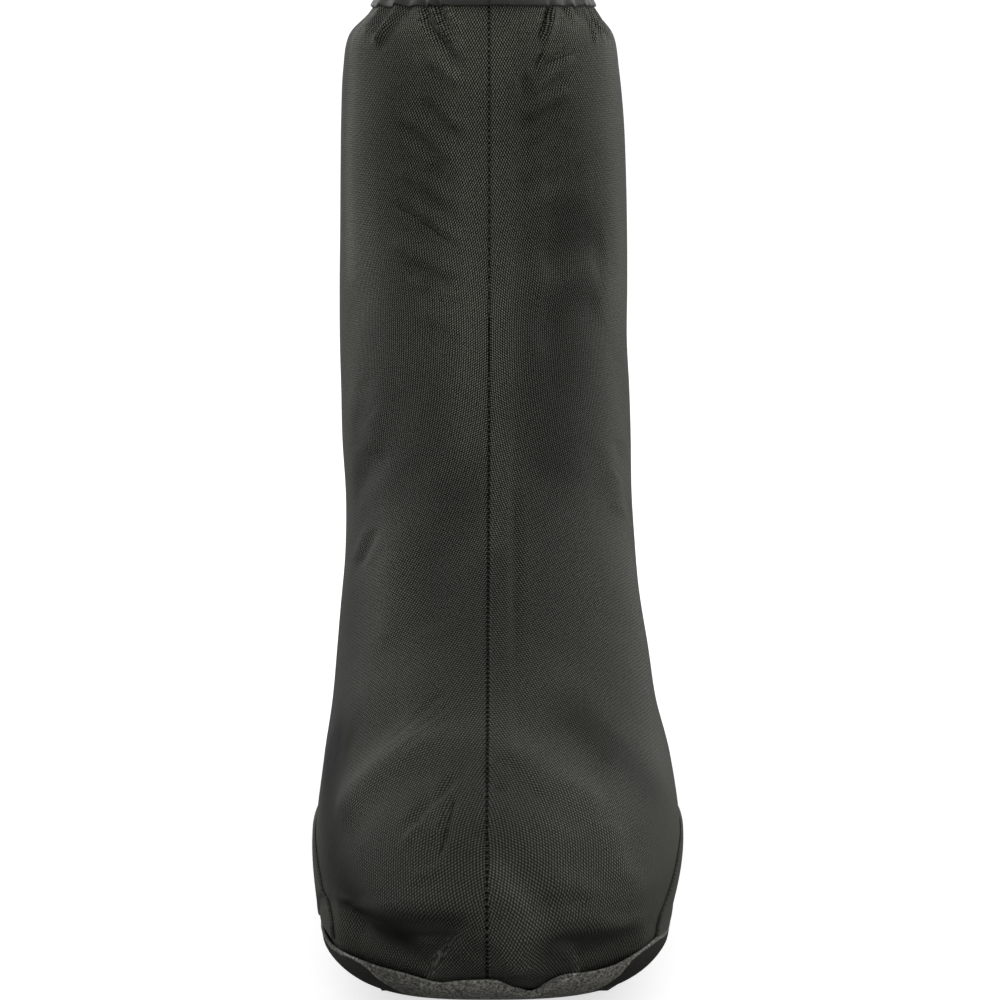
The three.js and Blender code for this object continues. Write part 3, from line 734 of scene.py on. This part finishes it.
def build_sole(material):
    half = front_turns()
    turns = whole_turns(half)
    wide = len(turns)
    corner = body(np.full(wide, CORNER_LEVEL), turns)
    _, girth = seam_places(corner)
    girth = np.where(turns <= math.pi, girth, -girth)
    waves = table_curve(TOE_WAVE, np.clip(girth, TOE_WAVE[0][0], TOE_WAVE[-1][0]))
    rim = table_curve(SOLE_RIM, corner[:, 1] / FOOT_LENGTH) + waves
    outer, edge = CLEARANCE + SOLE_WALL, CLEARANCE + RIM_EDGE

    def floor_row(share, drop):
        points = body(np.zeros(wide), turns)
        return np.stack([points[:, 0] * share, points[:, 1], points[:, 2] - drop], -1)

    def wall_row(share, offset):
        return body(rim * share, turns) + normal(rim * share, turns) * offset

    rows = [floor_row(k / FLOOR_ROWS, outer) for k in range(FLOOR_ROWS)]
    reach = [0.0] * FLOOR_ROWS + [k / WALL_ROWS for k in range(WALL_ROWS)]
    for share in reach[FLOOR_ROWS:]:
        thinned = ease((share - TAPER_START) / (1.0 - TAPER_START))
        rows.append(wall_row(share, outer + (edge - outer) * thinned))
    for angle in np.linspace(0, math.pi, ROUND_ROWS):
        reach.append(1.0 + RIM_CROWN * math.sin(angle))
        rows.append(wall_row(reach[-1], CLEARANCE + 0.5 * RIM_EDGE * (1 + math.cos(angle))))
    rows += [wall_row(k / INNER_ROWS, CLEARANCE) for k in range(INNER_ROWS - 1, -1, -1)]
    rows += [floor_row(k / SEAT_ROWS, CLEARANCE) for k in range(SEAT_ROWS - 1, -1, -1)]
    reach += [1.0] * (INNER_ROWS + SEAT_ROWS)
    points = np.array(rows)
    girths = np.broadcast_to(girth, points.shape[:2])
    upright = np.arange(len(rows))[:, None, None] >= UPRIGHT_ROW
    cloth = np.where(upright, np.stack([girths, points[..., 2]], -1), points[..., :2])
    # The level below which the sole's side is painted dark as shade
    limits = table_curve(UNDERSIDE_SHADE_LINE, np.clip(girth, UNDERSIDE_SHADE_LINE[0][0], UNDERSIDE_SHADE_LINE[-1][0]))
    below = (limits - np.array(reach)[:, None] * rim) * CORNER * math.pi / 2
    uvs = {"weave": cloth, "side": np.stack([below, girths], -1)}
    return mesh_object("sole_cloth", points, ring_faces(len(rows), wide), [material], None, uvs)


# Level of the collar band's lower edge, how far that edge is rounded, and the band's rows of points
BAND_LOW = TOP_LEVEL - BINDING_WIDTH / ((1 - SHAFT_RINGS[-2][0]) * (UPPER_TOP - ANKLE_HEIGHT))
EDGE_ROUND = 0.05
EDGE_ROWS, LEG_ROWS = 5, 6


def build_binding(material):
    half = front_turns()
    turns = whole_turns(half)
    wide = len(turns)
    outer = CLEARANCE + BINDING_WALL
    inner = -UPPER_WALL - CLEARANCE
    rows = []

    def row(level, offset, lift=0.0):
        points, _, _, _ = dressed(np.full(wide, level), turns, offset)
        points[:, 2] += lift
        rows.append(points)

    def edge(first, second):
        """The rounded lower edge of one leg, from one offset to the other."""
        middle, radius = (first + second) / 2, (second - first) / 2
        for angle in np.linspace(0, math.pi, EDGE_ROWS):
            row(BAND_LOW - EDGE_ROUND * math.sin(angle), middle - radius * math.cos(angle))

    leg = np.linspace(BAND_LOW, TOP_LEVEL, LEG_ROWS + 1)[1:]
    edge(CLEARANCE, outer)
    for level in leg:
        row(level, outer)
    crown = (outer + inner - BINDING_WALL) / 2
    half_span = (outer - inner + BINDING_WALL) / 2
    for angle in np.linspace(0.3, math.pi - 0.3, 7):
        row(TOP_LEVEL, crown + half_span * math.cos(angle), outer * math.sin(angle) ** 0.6)
    for level in reversed(leg):
        row(level, inner - BINDING_WALL)
    edge(inner - BINDING_WALL, inner)
    for level in leg:
        row(level, inner)
    row(TOP_LEVEL, (CLEARANCE + inner) / 2, CLEARANCE)
    for level in reversed(leg):
        row(level, CLEARANCE)
    points = np.array(rows)
    faces = ring_faces(len(rows), wide, close_rows=True)
    _, girth = seam_places(points[0])
    around = np.stack([np.broadcast_to(girth, points.shape[:2]), points[..., 2]], -1)
    return mesh_object("collar_band", points, faces, [material], None, {"weave": around})


def build_sheet(name, material, levels, turns, low, high, edge_round=0.5):
    """A thin panel over the body between two offsets, with rounded edges. levels and turns are grids."""
    rows, columns = levels.shape
    outside, _, _, panel = dressed(levels, turns, high)
    inside, _, _, _ = dressed(levels, turns, low)
    rim = np.zeros((rows, columns), bool)
    rim[0] = rim[-1] = True
    rim[:, 0] = rim[:, -1] = True
    outside[rim] = outside[rim] * (1 - edge_round) + inside[rim] * edge_round
    count = rows * columns
    front = ring_faces(rows, columns).reshape(rows - 1, columns, 4)[:, :-1].reshape(-1, 4)
    quads = [*front.tolist(), *(front[:, ::-1] + count).tolist()]
    loop = [(0, c) for c in range(columns)] + [(r, columns - 1) for r in range(1, rows)]
    loop += [(rows - 1, c) for c in range(columns - 2, -1, -1)] + [(r, 0) for r in range(rows - 2, 0, -1)]
    ids = [r * columns + c for r, c in loop]
    for i, a in enumerate(ids):
        b = ids[(i + 1) % len(ids)]
        quads.append((b, a, count + a, count + b))
    up, across = np.zeros((rows, columns)), np.zeros((rows, columns))
    up[1:] = np.linalg.norm(np.diff(outside, axis=0), axis=-1).cumsum(0)
    across[:, 1:] = np.linalg.norm(np.diff(outside, axis=1), axis=-1).cumsum(1)
    down_edge = np.minimum(up, up[-1:] - up)
    side_edge = np.minimum(across, across[:, -1:] - across)
    border = np.stack([np.minimum(down_edge, side_edge), np.where(down_edge < side_edge, across, up)], -1)
    uvs = {"weave": np.stack([panel, panel]), "border": np.stack([border, np.full(border.shape, OFF_MAP)])}
    return mesh_object(name, np.stack([outside, inside]), quads, [material], None, uvs)


def gathered(count):
    """Shares from 0 to 1 that lie closer together at both ends."""
    return 0.5 - 0.5 * np.cos(math.pi * np.linspace(0, 1, count))


def level_at(along, height):
    low, high = np.full(along.shape, 0.2), np.full(along.shape, TOP_LEVEL)
    for _ in range(32):
        middle = (low + high) / 2
        ring = ring_at(middle)
        below = ring[..., LIFT] + floor_rise(along, ring[..., SPRING]) < height
        low, high = np.where(below, middle, low), np.where(below, high, middle)
    return (low + high) / 2


# Upper edge of the side patches: share of the foot's length, share of the ankle's height
PATCH_EDGE = (
    (0.118, 0.196), (0.146, 0.228), (0.170, 0.250), (0.210, 0.270), (0.262, 0.275), (0.350, 0.262),
    (0.525, 0.196),
)
PATCH_GAP, PATCH_ROUND, PATCH_WALL, PATCH_EDGE_ROUND = 1.2, 3.0, 1.3, 0.85


def build_patch(name, side, material):
    rows, columns = 26, 90
    front, back = PATCH_EDGE[0][0] * FOOT_LENGTH, PATCH_EDGE[-1][0] * FOOT_LENGTH
    along = np.broadcast_to(front + (back - front) * gathered(columns), (rows, columns))
    ring = ring_at(table_curve(SOLE_RIM, along / FOOT_LENGTH))
    bottom = ring[..., LIFT] + floor_rise(along, np.ones(along.shape)) + PATCH_GAP
    drop = PATCH_ROUND * (1 - quarter(np.minimum(along - front, back - along) / PATCH_ROUND))
    edge = table_curve(PATCH_EDGE, along / FOOT_LENGTH) * ANKLE_HEIGHT - drop
    level = level_at(along, bottom + (edge - bottom) * gathered(rows)[:, None])
    turn = turn_at(level, along)
    if side == "medial":
        level, turn = level[:, ::-1], 2 * math.pi - turn[:, ::-1]
    return build_sheet(name, material, level, turn, 0.5 * CLEARANCE, PATCH_WALL - CLEARANCE, PATCH_EDGE_ROUND)


# Free edge of the rear flap: share of the collar's height, share of the foot's length
FLAP_EDGE = (
    (0.08, 0.712), (0.18, 0.704), (0.28, 0.720), (0.38, 0.762), (0.50, 0.812), (0.65, 0.846), (1.00, 0.870),
)
FLAP_LOW, FLAP_SEWN, FLAP_WALL, FLAP_ROWS, FLAP_COLUMNS = 1.5, 0.88, 1.5, 150, 90
TRIM_WIDTH, TRIM_INSET, TRIM_WALL, TRIM_COLUMNS = 7.0, 1.0, 1.0, 10


def flap_piece(name, material, start_inset, columns, end_of, low, wall):
    """A sheet along the flap's free edge: from its inset to where end_of says, at every level."""
    levels = np.linspace(FLAP_LOW, math.floor(BAND_LOW - 0.5), FLAP_ROWS)[:, None]
    free = table_curve(FLAP_EDGE, ring_at(levels[:, 0])[..., LIFT] / COLLAR_HEIGHT)[:, None] * FOOT_LENGTH
    start, end = turn_at(levels, free + start_inset), end_of(levels, free)
    turns = start + (end - start) * columns
    return build_sheet(name, material, np.broadcast_to(levels, turns.shape), turns, low, low + wall)


def build_flap(material):
    def sewn(levels, free):
        return 2 * math.pi - turn_at(levels, np.full(levels.shape, FLAP_SEWN * FOOT_LENGTH))

    return flap_piece("rear_flap", material, 0.0, gathered(FLAP_COLUMNS), sewn, CLEARANCE, FLAP_WALL)


def build_trim(material):
    def inner_edge(levels, free):
        return turn_at(levels, free + TRIM_INSET + TRIM_WIDTH)

    columns = np.linspace(0, 1, TRIM_COLUMNS)
    low = 2 * CLEARANCE + FLAP_WALL
    return flap_piece("pale_trim", material, TRIM_INSET, columns, inner_edge, low, TRIM_WALL)


class Nodes:
    """A small helper that adds nodes to a material and links them."""

    def __init__(self, name, tree=None):
        self.tree = tree
        if tree:
            return
        self.material = bpy.data.materials.new(name)
        self.material.use_nodes = True
        self.tree = self.material.node_tree
        self.tree.nodes.clear()
        self.output = self.add("ShaderNodeOutputMaterial")
        self.shader = self.add("ShaderNodeBsdfPrincipled")
        self.tree.links.new(self.shader.outputs[0], self.output.inputs["Surface"])

    def add(self, kind, **settings):
        node = self.tree.nodes.new(kind)
        for key, value in settings.items():
            setattr(node, key, value)
        return node

    def link(self, source, target):
        self.tree.links.new(source, target)

    def times(self, a, b):
        return self.math("MULTIPLY", a, b)

    def wave(self, value, length):
        return self.math("SINE", self.times(value, 2 * math.pi / length))

    def place(self):
        return self.add("ShaderNodeTexCoord").outputs["Object"]

    def surface(self, colour, roughness, normal):
        for socket, value in (("Base Color", colour), ("Roughness", roughness), ("Normal", normal)):
            self.link(value, self.shader.inputs[socket])

    def uv(self, label):
        return self.add("ShaderNodeUVMap", uv_map=label).outputs[0]

    def split(self, vector):
        node = self.add("ShaderNodeSeparateXYZ")
        self.link(vector, node.inputs[0])
        return node.outputs[0], node.outputs[1], node.outputs[2]

    def math(self, operation, a, b=0.0, c=None):
        node = self.add("ShaderNodeMath", operation=operation)
        for socket, value in zip(node.inputs, (a, b, c)):
            if value is None:
                continue
            if isinstance(value, (int, float)):
                socket.default_value = value
            else:
                self.link(value, socket)
        return node.outputs[0]

    def noise(self, vector, scale, detail=2.0, roughness=0.5):
        node = self.add("ShaderNodeTexNoise")
        node.inputs["Scale"].default_value = scale
        node.inputs["Detail"].default_value = detail
        node.inputs["Roughness"].default_value = roughness
        self.link(vector, node.inputs["Vector"])
        return node.outputs[0]

    def ramp(self, value, low, high, start=0.0, end=1.0):
        node = self.add("ShaderNodeMapRange", clamp=True)
        self.link(value, node.inputs["Value"])
        for key, number in (("From Min", low), ("From Max", high), ("To Min", start), ("To Max", end)):
            node.inputs[key].default_value = number
        return node.outputs[0]

    def mix(self, factor, first, second):
        node = self.add("ShaderNodeMix", data_type="RGBA")
        for socket, value in ((node.inputs[0], factor), (node.inputs[6], first), (node.inputs[7], second)):
            if isinstance(value, tuple):
                socket.default_value = (*value, 1.0)
            elif isinstance(value, (int, float)):
                socket.default_value = value
            else:
                self.link(value, socket)
        return node.outputs[2]

    def bump(self, height, strength, distance, before=None):
        node = self.add("ShaderNodeBump")
        node.inputs["Strength"].default_value = strength
        node.inputs["Distance"].default_value = distance
        self.link(height, node.inputs["Height"])
        if before is not None:
            self.link(before, node.inputs["Normal"])
        return node.outputs[0]

    def set(self, **values):
        for key, value in values.items():
            self.shader.inputs[key.replace("_", " ")].default_value = value


def plain_weave(n, uv, pitch_u, pitch_v, wander=0.0):
    """Height of a plain weave, 0 to 1, with floats a pitch apart in millimetres and threads a bit uneven."""
    u, v, _ = n.split(uv)
    if wander:
        moved = n.add("ShaderNodeVectorMath", operation="ADD")
        moved.inputs[1].default_value = (31.0, 17.0, 5.0)
        n.link(uv, moved.inputs[0])
        aside = n.math("SUBTRACT", n.noise(uv, 0.33), 0.5)
        ahead = n.math("SUBTRACT", n.noise(moved.outputs[0], 0.27), 0.5)
        u, v = n.math("MULTIPLY_ADD", aside, wander, u), n.math("MULTIPLY_ADD", ahead, wander, v)
    both = n.times(n.wave(u, 2 * pitch_u), n.wave(v, 2 * pitch_v))
    return n.math("MULTIPLY_ADD", both, 0.5, 0.5)


# Painted shade of sharp thin creases on the seam's map, drawn as dark lines in the cloth's colour: half
# width, then the places s, t they join
FINE_CREASE_SHADES = (
    (0.45, (357.5, 23.2), (346.0, 17.8)),
    (0.45, (341.6, 20.2), (334.8, 16.0)),
    (0.40, (342.8, 34.5), (336.2, 18.6)),
    (0.40, (352.6, -22.2), (343.2, -15.4)),
    (0.35, (290.0, -35.0), (285.6, -26.0)),
    (0.35, (285.6, -26.0), (276.5, -12.5)),
    (0.45, (59.0, -9.2), (50.0, -11.0)),
    (0.45, (50.0, -11.0), (40.0, -13.6)),
)


def segment_mask(n, s, t, half_width, first, second):
    """1 on the line between two places of the seam's map, 0 beside it."""
    length = math.dist(first, second)
    ds, dt = (second[0] - first[0]) / length, (second[1] - first[1]) / length
    along_t = n.math("MULTIPLY_ADD", t, dt, -first[0] * ds - first[1] * dt)
    off_t = n.math("MULTIPLY_ADD", t, ds, first[0] * dt - first[1] * ds)
    along = n.math("MULTIPLY_ADD", s, ds, along_t)
    off = n.math("MULTIPLY_ADD", s, -dt, off_t)
    middle = n.math("ABSOLUTE", n.math("SUBTRACT", along, length / 2))
    ends = n.ramp(middle, length * 0.30, length / 2, 1.0, 0.0)
    return n.times(ends, n.ramp(n.math("ABSOLUTE", off), 0.0, half_width, 1.0, 0.0))


# The cloth: half lengths of a float and how far threads wander, in millimetres, how bright the weave shows
# where the coating fills it, and the border's stitches
FLOAT_ACROSS, FLOAT_UP, WANDER = 0.455, 0.77, 0.5
FILLED = (0.33, 0.33, 0.33)
BORDER_INSET, BORDER_STITCH = 2.2, 2.6
RIB_PITCH = 1.1


def cloth_material(name, with_seam=False, border=False, relief=1.0):
    n = Nodes(name)
    place = n.place()
    weave = plain_weave(n, n.uv("weave"), FLOAT_ACROSS, FLOAT_UP, WANDER)
    thread = n.noise(n.uv("weave"), 1.6, 2.0, 0.6)
    broad = n.noise(place, 24.0, 3.0, 0.55)
    patchy = n.noise(place, 75.0, 2.0, 0.5)
    light = n.mix(n.ramp(broad, 0.3, 0.7), (0.148, 0.153, 0.124), (0.193, 0.197, 0.163))
    light = n.mix(n.ramp(patchy, 0.35, 0.70, 0.0, 0.35), light, (0.139, 0.142, 0.121))
    dots = n.times(weave, n.ramp(thread, 0.3, 0.7, 0.72, 1.22))
    shown = n.ramp(dots, 0.40, 0.98)
    height = weave
    lumps = n.noise(place, 260.0, 3.0, 0.6)
    if with_seam:
        s, t, _ = n.split(n.uv("seam"))
        light_and_shade, girth, _ = n.split(n.uv("light_and_shade"))
        # Toward the sides of the toe the coating fills the weave
        side = n.ramp(n.math("ABSOLUTE", girth), 44.0, 56.0, 0.0, 0.75)
        filled = n.times(side, n.ramp(s, 130.0, 80.0))
        # Where the painted shade is deep, the weave's dots are flattened as well
        shaded = n.times(n.ramp(light_and_shade, -0.20, -0.45, 0.0, 0.8), n.ramp(s, 190.0, 120.0))
        filled = n.math("MAXIMUM", filled, shaded)
        filled = n.math("MAXIMUM", filled, n.ramp(s, 150.0, 90.0, 0.0, 0.28))
        relief = n.math("SUBTRACT", 1.0, filled)
        shown = n.mix(filled, shown, FILLED)
        height = n.times(weave, relief)
    elif relief < 1.0:
        shown = n.mix(1.0 - relief, shown, FILLED)
        height = n.times(weave, relief)
    colour = n.mix(shown, (0.0040, 0.0041, 0.0030), light)
    if with_seam:
        # Painted light and shade: the cloth's colour is scaled up or down
        factor = n.math("ADD", light_and_shade, 1.0)
        scaled = n.add("ShaderNodeVectorMath", operation="SCALE")
        n.link(colour, scaled.inputs[0])
        n.link(factor, scaled.inputs["Scale"])
        colour = scaled.outputs[0]
        off = n.math("ABSOLUTE", t)
        line = n.ramp(off, 0.20, 0.60, 1.0, 0.0)
        beat = n.wave(s, STITCH_PITCH)
        hole = n.times(n.ramp(off, 0.25, 0.70, 1.0, 0.0), n.ramp(beat, 0.0, 0.5))
        dark = n.math("MAXIMUM", n.times(line, 0.35), hole)
        dark = n.times(dark, n.ramp(s, 230.0, 290.0, 1.0, 0.55))
        # Painted shade: each fine crease is drawn as a dark line in the cloth's colour
        for half_width, first, second in FINE_CREASE_SHADES:
            crease_shade = segment_mask(n, s, t, half_width, first, second)
            dark = n.math("MAXIMUM", dark, n.times(crease_shade, 0.75))
        # The seam's stitch holes and the painted crease shade darken the colour here
        colour = n.mix(dark, colour, (0.0015, 0.0015, 0.0015))
    if border:
        edge, run, _ = n.split(n.uv("border"))
        off = n.math("ABSOLUTE", n.math("SUBTRACT", edge, BORDER_INSET))
        beat = n.wave(run, BORDER_STITCH)
        stitch = n.times(n.ramp(off, 0.15, 0.35, 1.0, 0.0), n.ramp(beat, -0.3, 0.2))
        colour = n.mix(n.times(stitch, 0.8), colour, (0.04, 0.04, 0.036))
        height = n.math("ADD", height, n.times(stitch, 1.5))
    normals = n.bump(height, 0.6, 0.00016, n.bump(lumps, 0.25, 0.0006))
    n.surface(colour, n.ramp(weave, 0.0, 1.0, 0.75, 0.50), normals)
    n.set(Specular_IOR_Level=0.08, Sheen_Weight=0.045, Sheen_Roughness=0.3)
    return n.material


def grained_material(name, grain, colours, relief, rough, cloud=None, ribs=False, **shine):
    """Fine grain between two colours, which a third one may cloud and ribs may cross."""
    n = Nodes(name)
    place = n.place()
    fine = n.noise(place, *grain)
    low, high, dark, pale = colours
    colour = n.mix(n.ramp(fine, low, high), dark, pale)
    if cloud:
        size, span, tint = cloud
        colour = n.mix(n.ramp(n.noise(place, *size), *span), colour, tint)
    normals = n.bump(fine, *relief)
    if ribs:
        _, up, _ = n.split(n.uv("weave"))
        normals = n.bump(n.wave(up, RIB_PITCH), 0.2, 0.0001, normals)
    n.surface(colour, n.ramp(fine, 0.3, 0.7, *rough), normals)
    n.set(**shine)
    return n.material


def tweed_material():
    """Speckled tweed over the toe, with painted shade: dark on the sole's side below the shade line, and
    darker on its left and right flanks above it.
    """
    n = Nodes("sole_tweed")
    place = n.place()
    grain = n.noise(place, 1250.0, 2.0, 0.6)
    flecks = n.noise(place, 700.0, 2.0, 0.5)
    weave = plain_weave(n, n.uv("weave"), 0.75, 0.75)
    base = n.mix(n.ramp(grain, 0.36, 0.64), (0.042, 0.042, 0.037), (0.345, 0.34, 0.30))
    base = n.mix(n.times(n.ramp(weave, 0.2, 0.9), 0.45), base, (0.125, 0.123, 0.108))
    base = n.mix(n.ramp(flecks, 0.62, 0.72, 0.0, 0.8), base, (0.50, 0.49, 0.44))
    below, girth, _ = n.split(n.uv("side"))
    # Painted shade on the left and right flanks of the tweed above the shade line
    above_shade_line = n.ramp(below, -0.3, -1.2)
    left = n.times(n.ramp(girth, -44.0, -14.0, 0.93, 0.0), above_shade_line)
    right = n.times(n.ramp(girth, 36.0, 50.0, 0.0, 0.8), above_shade_line)
    base = n.mix(n.math("MAXIMUM", left, right), base, (0.034, 0.032, 0.027))
    # Painted shade: the sole's side below the shade line is dark
    painted_underside_shade = n.mix(n.ramp(grain, 0.35, 0.65), (0.012, 0.012, 0.011), (0.030, 0.029, 0.026))
    colour = n.mix(n.ramp(below, 0.0, 0.5), base, painted_underside_shade)
    n.surface(colour, n.ramp(grain, 0.3, 0.7, 0.75, 0.95), n.bump(grain, 0.5, 0.0004))
    n.set(Specular_IOR_Level=0.2)
    return n.material


woven = cloth_material("woven_cloth", with_seam=True)
panel_cloth = cloth_material("woven_panel", border=True)
patch_cloth = cloth_material("coated_patch", relief=0.25)
tweed = tweed_material()
lining = grained_material(
    "fleece_lining",
    grain=(1400.0, 3.0, 0.7),
    colours=(0.3, 0.75, (0.010, 0.010, 0.010), (0.034, 0.034, 0.033)),
    cloud=((90.0, 3.0, 0.6), (0.35, 0.7, 0.0, 0.4), (0.045, 0.045, 0.043)),
    relief=(0.6, 0.0006),
    rough=(0.85, 1.0),
    Specular_IOR_Level=0.15, Sheen_Weight=0.5, Sheen_Roughness=0.6,
)
band = grained_material(
    "collar_elastic",
    grain=(1600.0, 2.0, 0.6),
    colours=(0.3, 0.7, (0.024, 0.024, 0.021), (0.042, 0.041, 0.037)),
    ribs=True,
    relief=(0.25, 0.0003),
    rough=(0.5, 0.7),
    Specular_IOR_Level=0.4, Sheen_Weight=0.3, Sheen_Roughness=0.4,
)
rubber = grained_material(
    "tread_rubber",
    grain=(900.0, 3.0, 0.6),
    colours=(0.3, 0.7, (0.014, 0.014, 0.013), (0.014, 0.014, 0.013)),
    cloud=((60.0, 4.0, 0.6), (0.45, 0.8, 0.0, 0.5), (0.045, 0.044, 0.041)),
    relief=(0.3, 0.0003),
    rough=(0.55, 0.8),
    Specular_IOR_Level=0.4,
)
pale = grained_material(
    "pale_reflective",
    grain=(2200.0, 2.0, 0.6),
    colours=(0.3, 0.7, (0.52, 0.53, 0.52), (0.74, 0.75, 0.74)),
    cloud=((120.0, 3.0, 0.5), (0.45, 0.75, 0.0, 0.35), (0.40, 0.41, 0.40)),
    relief=(0.15, 0.0002),
    rough=(0.3, 0.45),
    Specular_IOR_Level=0.5,
)

pieces = (
    (build_upper([woven, lining]), "woven_cloth", "upper"),
    (build_sole(tweed), "sole_cloth", "sole"),
    (build_binding(band), "edge_binding", "collar_binding"),
    (build_patch("patch_lateral", "lateral", patch_cloth), "woven_cloth", "side_patch_lateral"),
    (build_patch("patch_medial", "medial", patch_cloth), "woven_cloth", "side_patch_medial"),
    (build_flap(panel_cloth), "woven_cloth", "back_flap"),
    (build_trim(pale), "pale_trim", "reflective_trim"),
)
for piece, slot, node in pieces:
    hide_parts(node)
    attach(piece, "root")
for node in ("forefoot_tread", "heel_tread"):
    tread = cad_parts[node]
    tread.data.materials.clear()
    tread.data.materials.append(rubber)


def build_stage():
    """A pale floor that curves up behind the shoe."""
    half, front, back, radius, top = 3.0, -3.0, 2.2, 0.8, 3.0
    profile = [(front, 0.0), (back - radius, 0.0)]
    for angle in np.linspace(0, math.pi / 2, 16)[1:]:
        profile.append((back - radius + radius * math.sin(angle), radius - radius * math.cos(angle)))
    profile.append((back, top))
    verts = [(x, y, z) for y, z in profile for x in (-half, half)]
    faces = [(2 * i, 2 * i + 1, 2 * i + 3, 2 * i + 2) for i in range(len(profile) - 1)]
    mesh = bpy.data.meshes.new("floor")
    mesh.from_pydata(verts, [], faces)
    mesh.polygons.foreach_set("use_smooth", [True] * len(faces))
    n = Nodes("pale_floor")
    n.set(Base_Color=(0.80, 0.80, 0.80, 1.0), Roughness=0.85, Specular_IOR_Level=0.1)
    n.set(Emission_Color=(1.0, 1.0, 1.0, 1.0), Emission_Strength=0.62)
    mesh.materials.append(n.material)
    made = placed("floor", mesh)
    made.visible_diffuse = False
    made.visible_glossy = False


LIGHT_TARGET = (0.0, 0.0, 0.16)
LIGHT_SIZE = (0.7, 1.1)


def add_area(name, place, power):
    light = bpy.data.lights.new(name, "AREA")
    light.shape = "RECTANGLE"
    light.size, light.size_y = LIGHT_SIZE
    light.energy = power
    made = placed(name, light)
    made.location = place
    made.rotation_euler = (Vector(LIGHT_TARGET) - Vector(place)).to_track_quat("-Z", "Y").to_euler()


build_stage()
add_area("side_right", (0.95, 0.55, 0.45), 2.6)
add_area("side_left", (-0.95, 0.60, 0.45), 2.2)


def build_world():
    """A bright studio, dimmer below and overhead, brighter towards the sides and the wall behind."""
    world = bpy.data.worlds.new("studio")
    world.use_nodes = True
    tree = world.node_tree
    sky = Nodes("studio", tree)
    background = tree.nodes["Background"]
    x, y, z = sky.split(sky.add("ShaderNodeTexCoord").outputs["Generated"])
    side = sky.math("ADD", sky.ramp(x, 0.60, 1.0, 0.0, 0.35), sky.ramp(x, -0.60, -1.0, 0.0, 0.15))
    back = sky.ramp(y, 0.1, 0.7, 0.0, 0.7)
    down = sky.times(sky.ramp(z, -0.30, 0.20, 0.10, 1.0), sky.ramp(z, 0.35, 0.95, 1.0, 0.55))
    light = sky.times(sky.math("ADD", sky.math("ADD", side, back), 0.86), down)
    tree.links.new(light, background.inputs["Strength"])
    background.inputs["Color"].default_value = (1.0, 1.0, 1.0, 1.0)
    bpy.context.scene.world = world


build_world()
bpy.context.scene.view_settings.view_transform = "Standard"

# The camera stands where the photograph was taken: in front of the toe, a little above the shaft's middle
CAMERA_OFF_SEAM = 3.6
CAMERA_FROM_TOE = 551.0
CAMERA_HEIGHT = 280.0
CAMERA_DOWN = 12.0
SENSOR = 36.0
LENS = 77.76
camera_data = bpy.data.cameras.new("photo_view")
camera_data.sensor_width = SENSOR
camera_data.lens = LENS
camera = placed("photo_view", camera_data)
camera.location = np.array([CAMERA_OFF_SEAM, -CAMERA_FROM_TOE, CAMERA_HEIGHT]) * MM + SHIFT
camera.rotation_euler = (math.radians(90.0 - CAMERA_DOWN), 0.0, 0.0)
bpy.context.scene.camera = camera
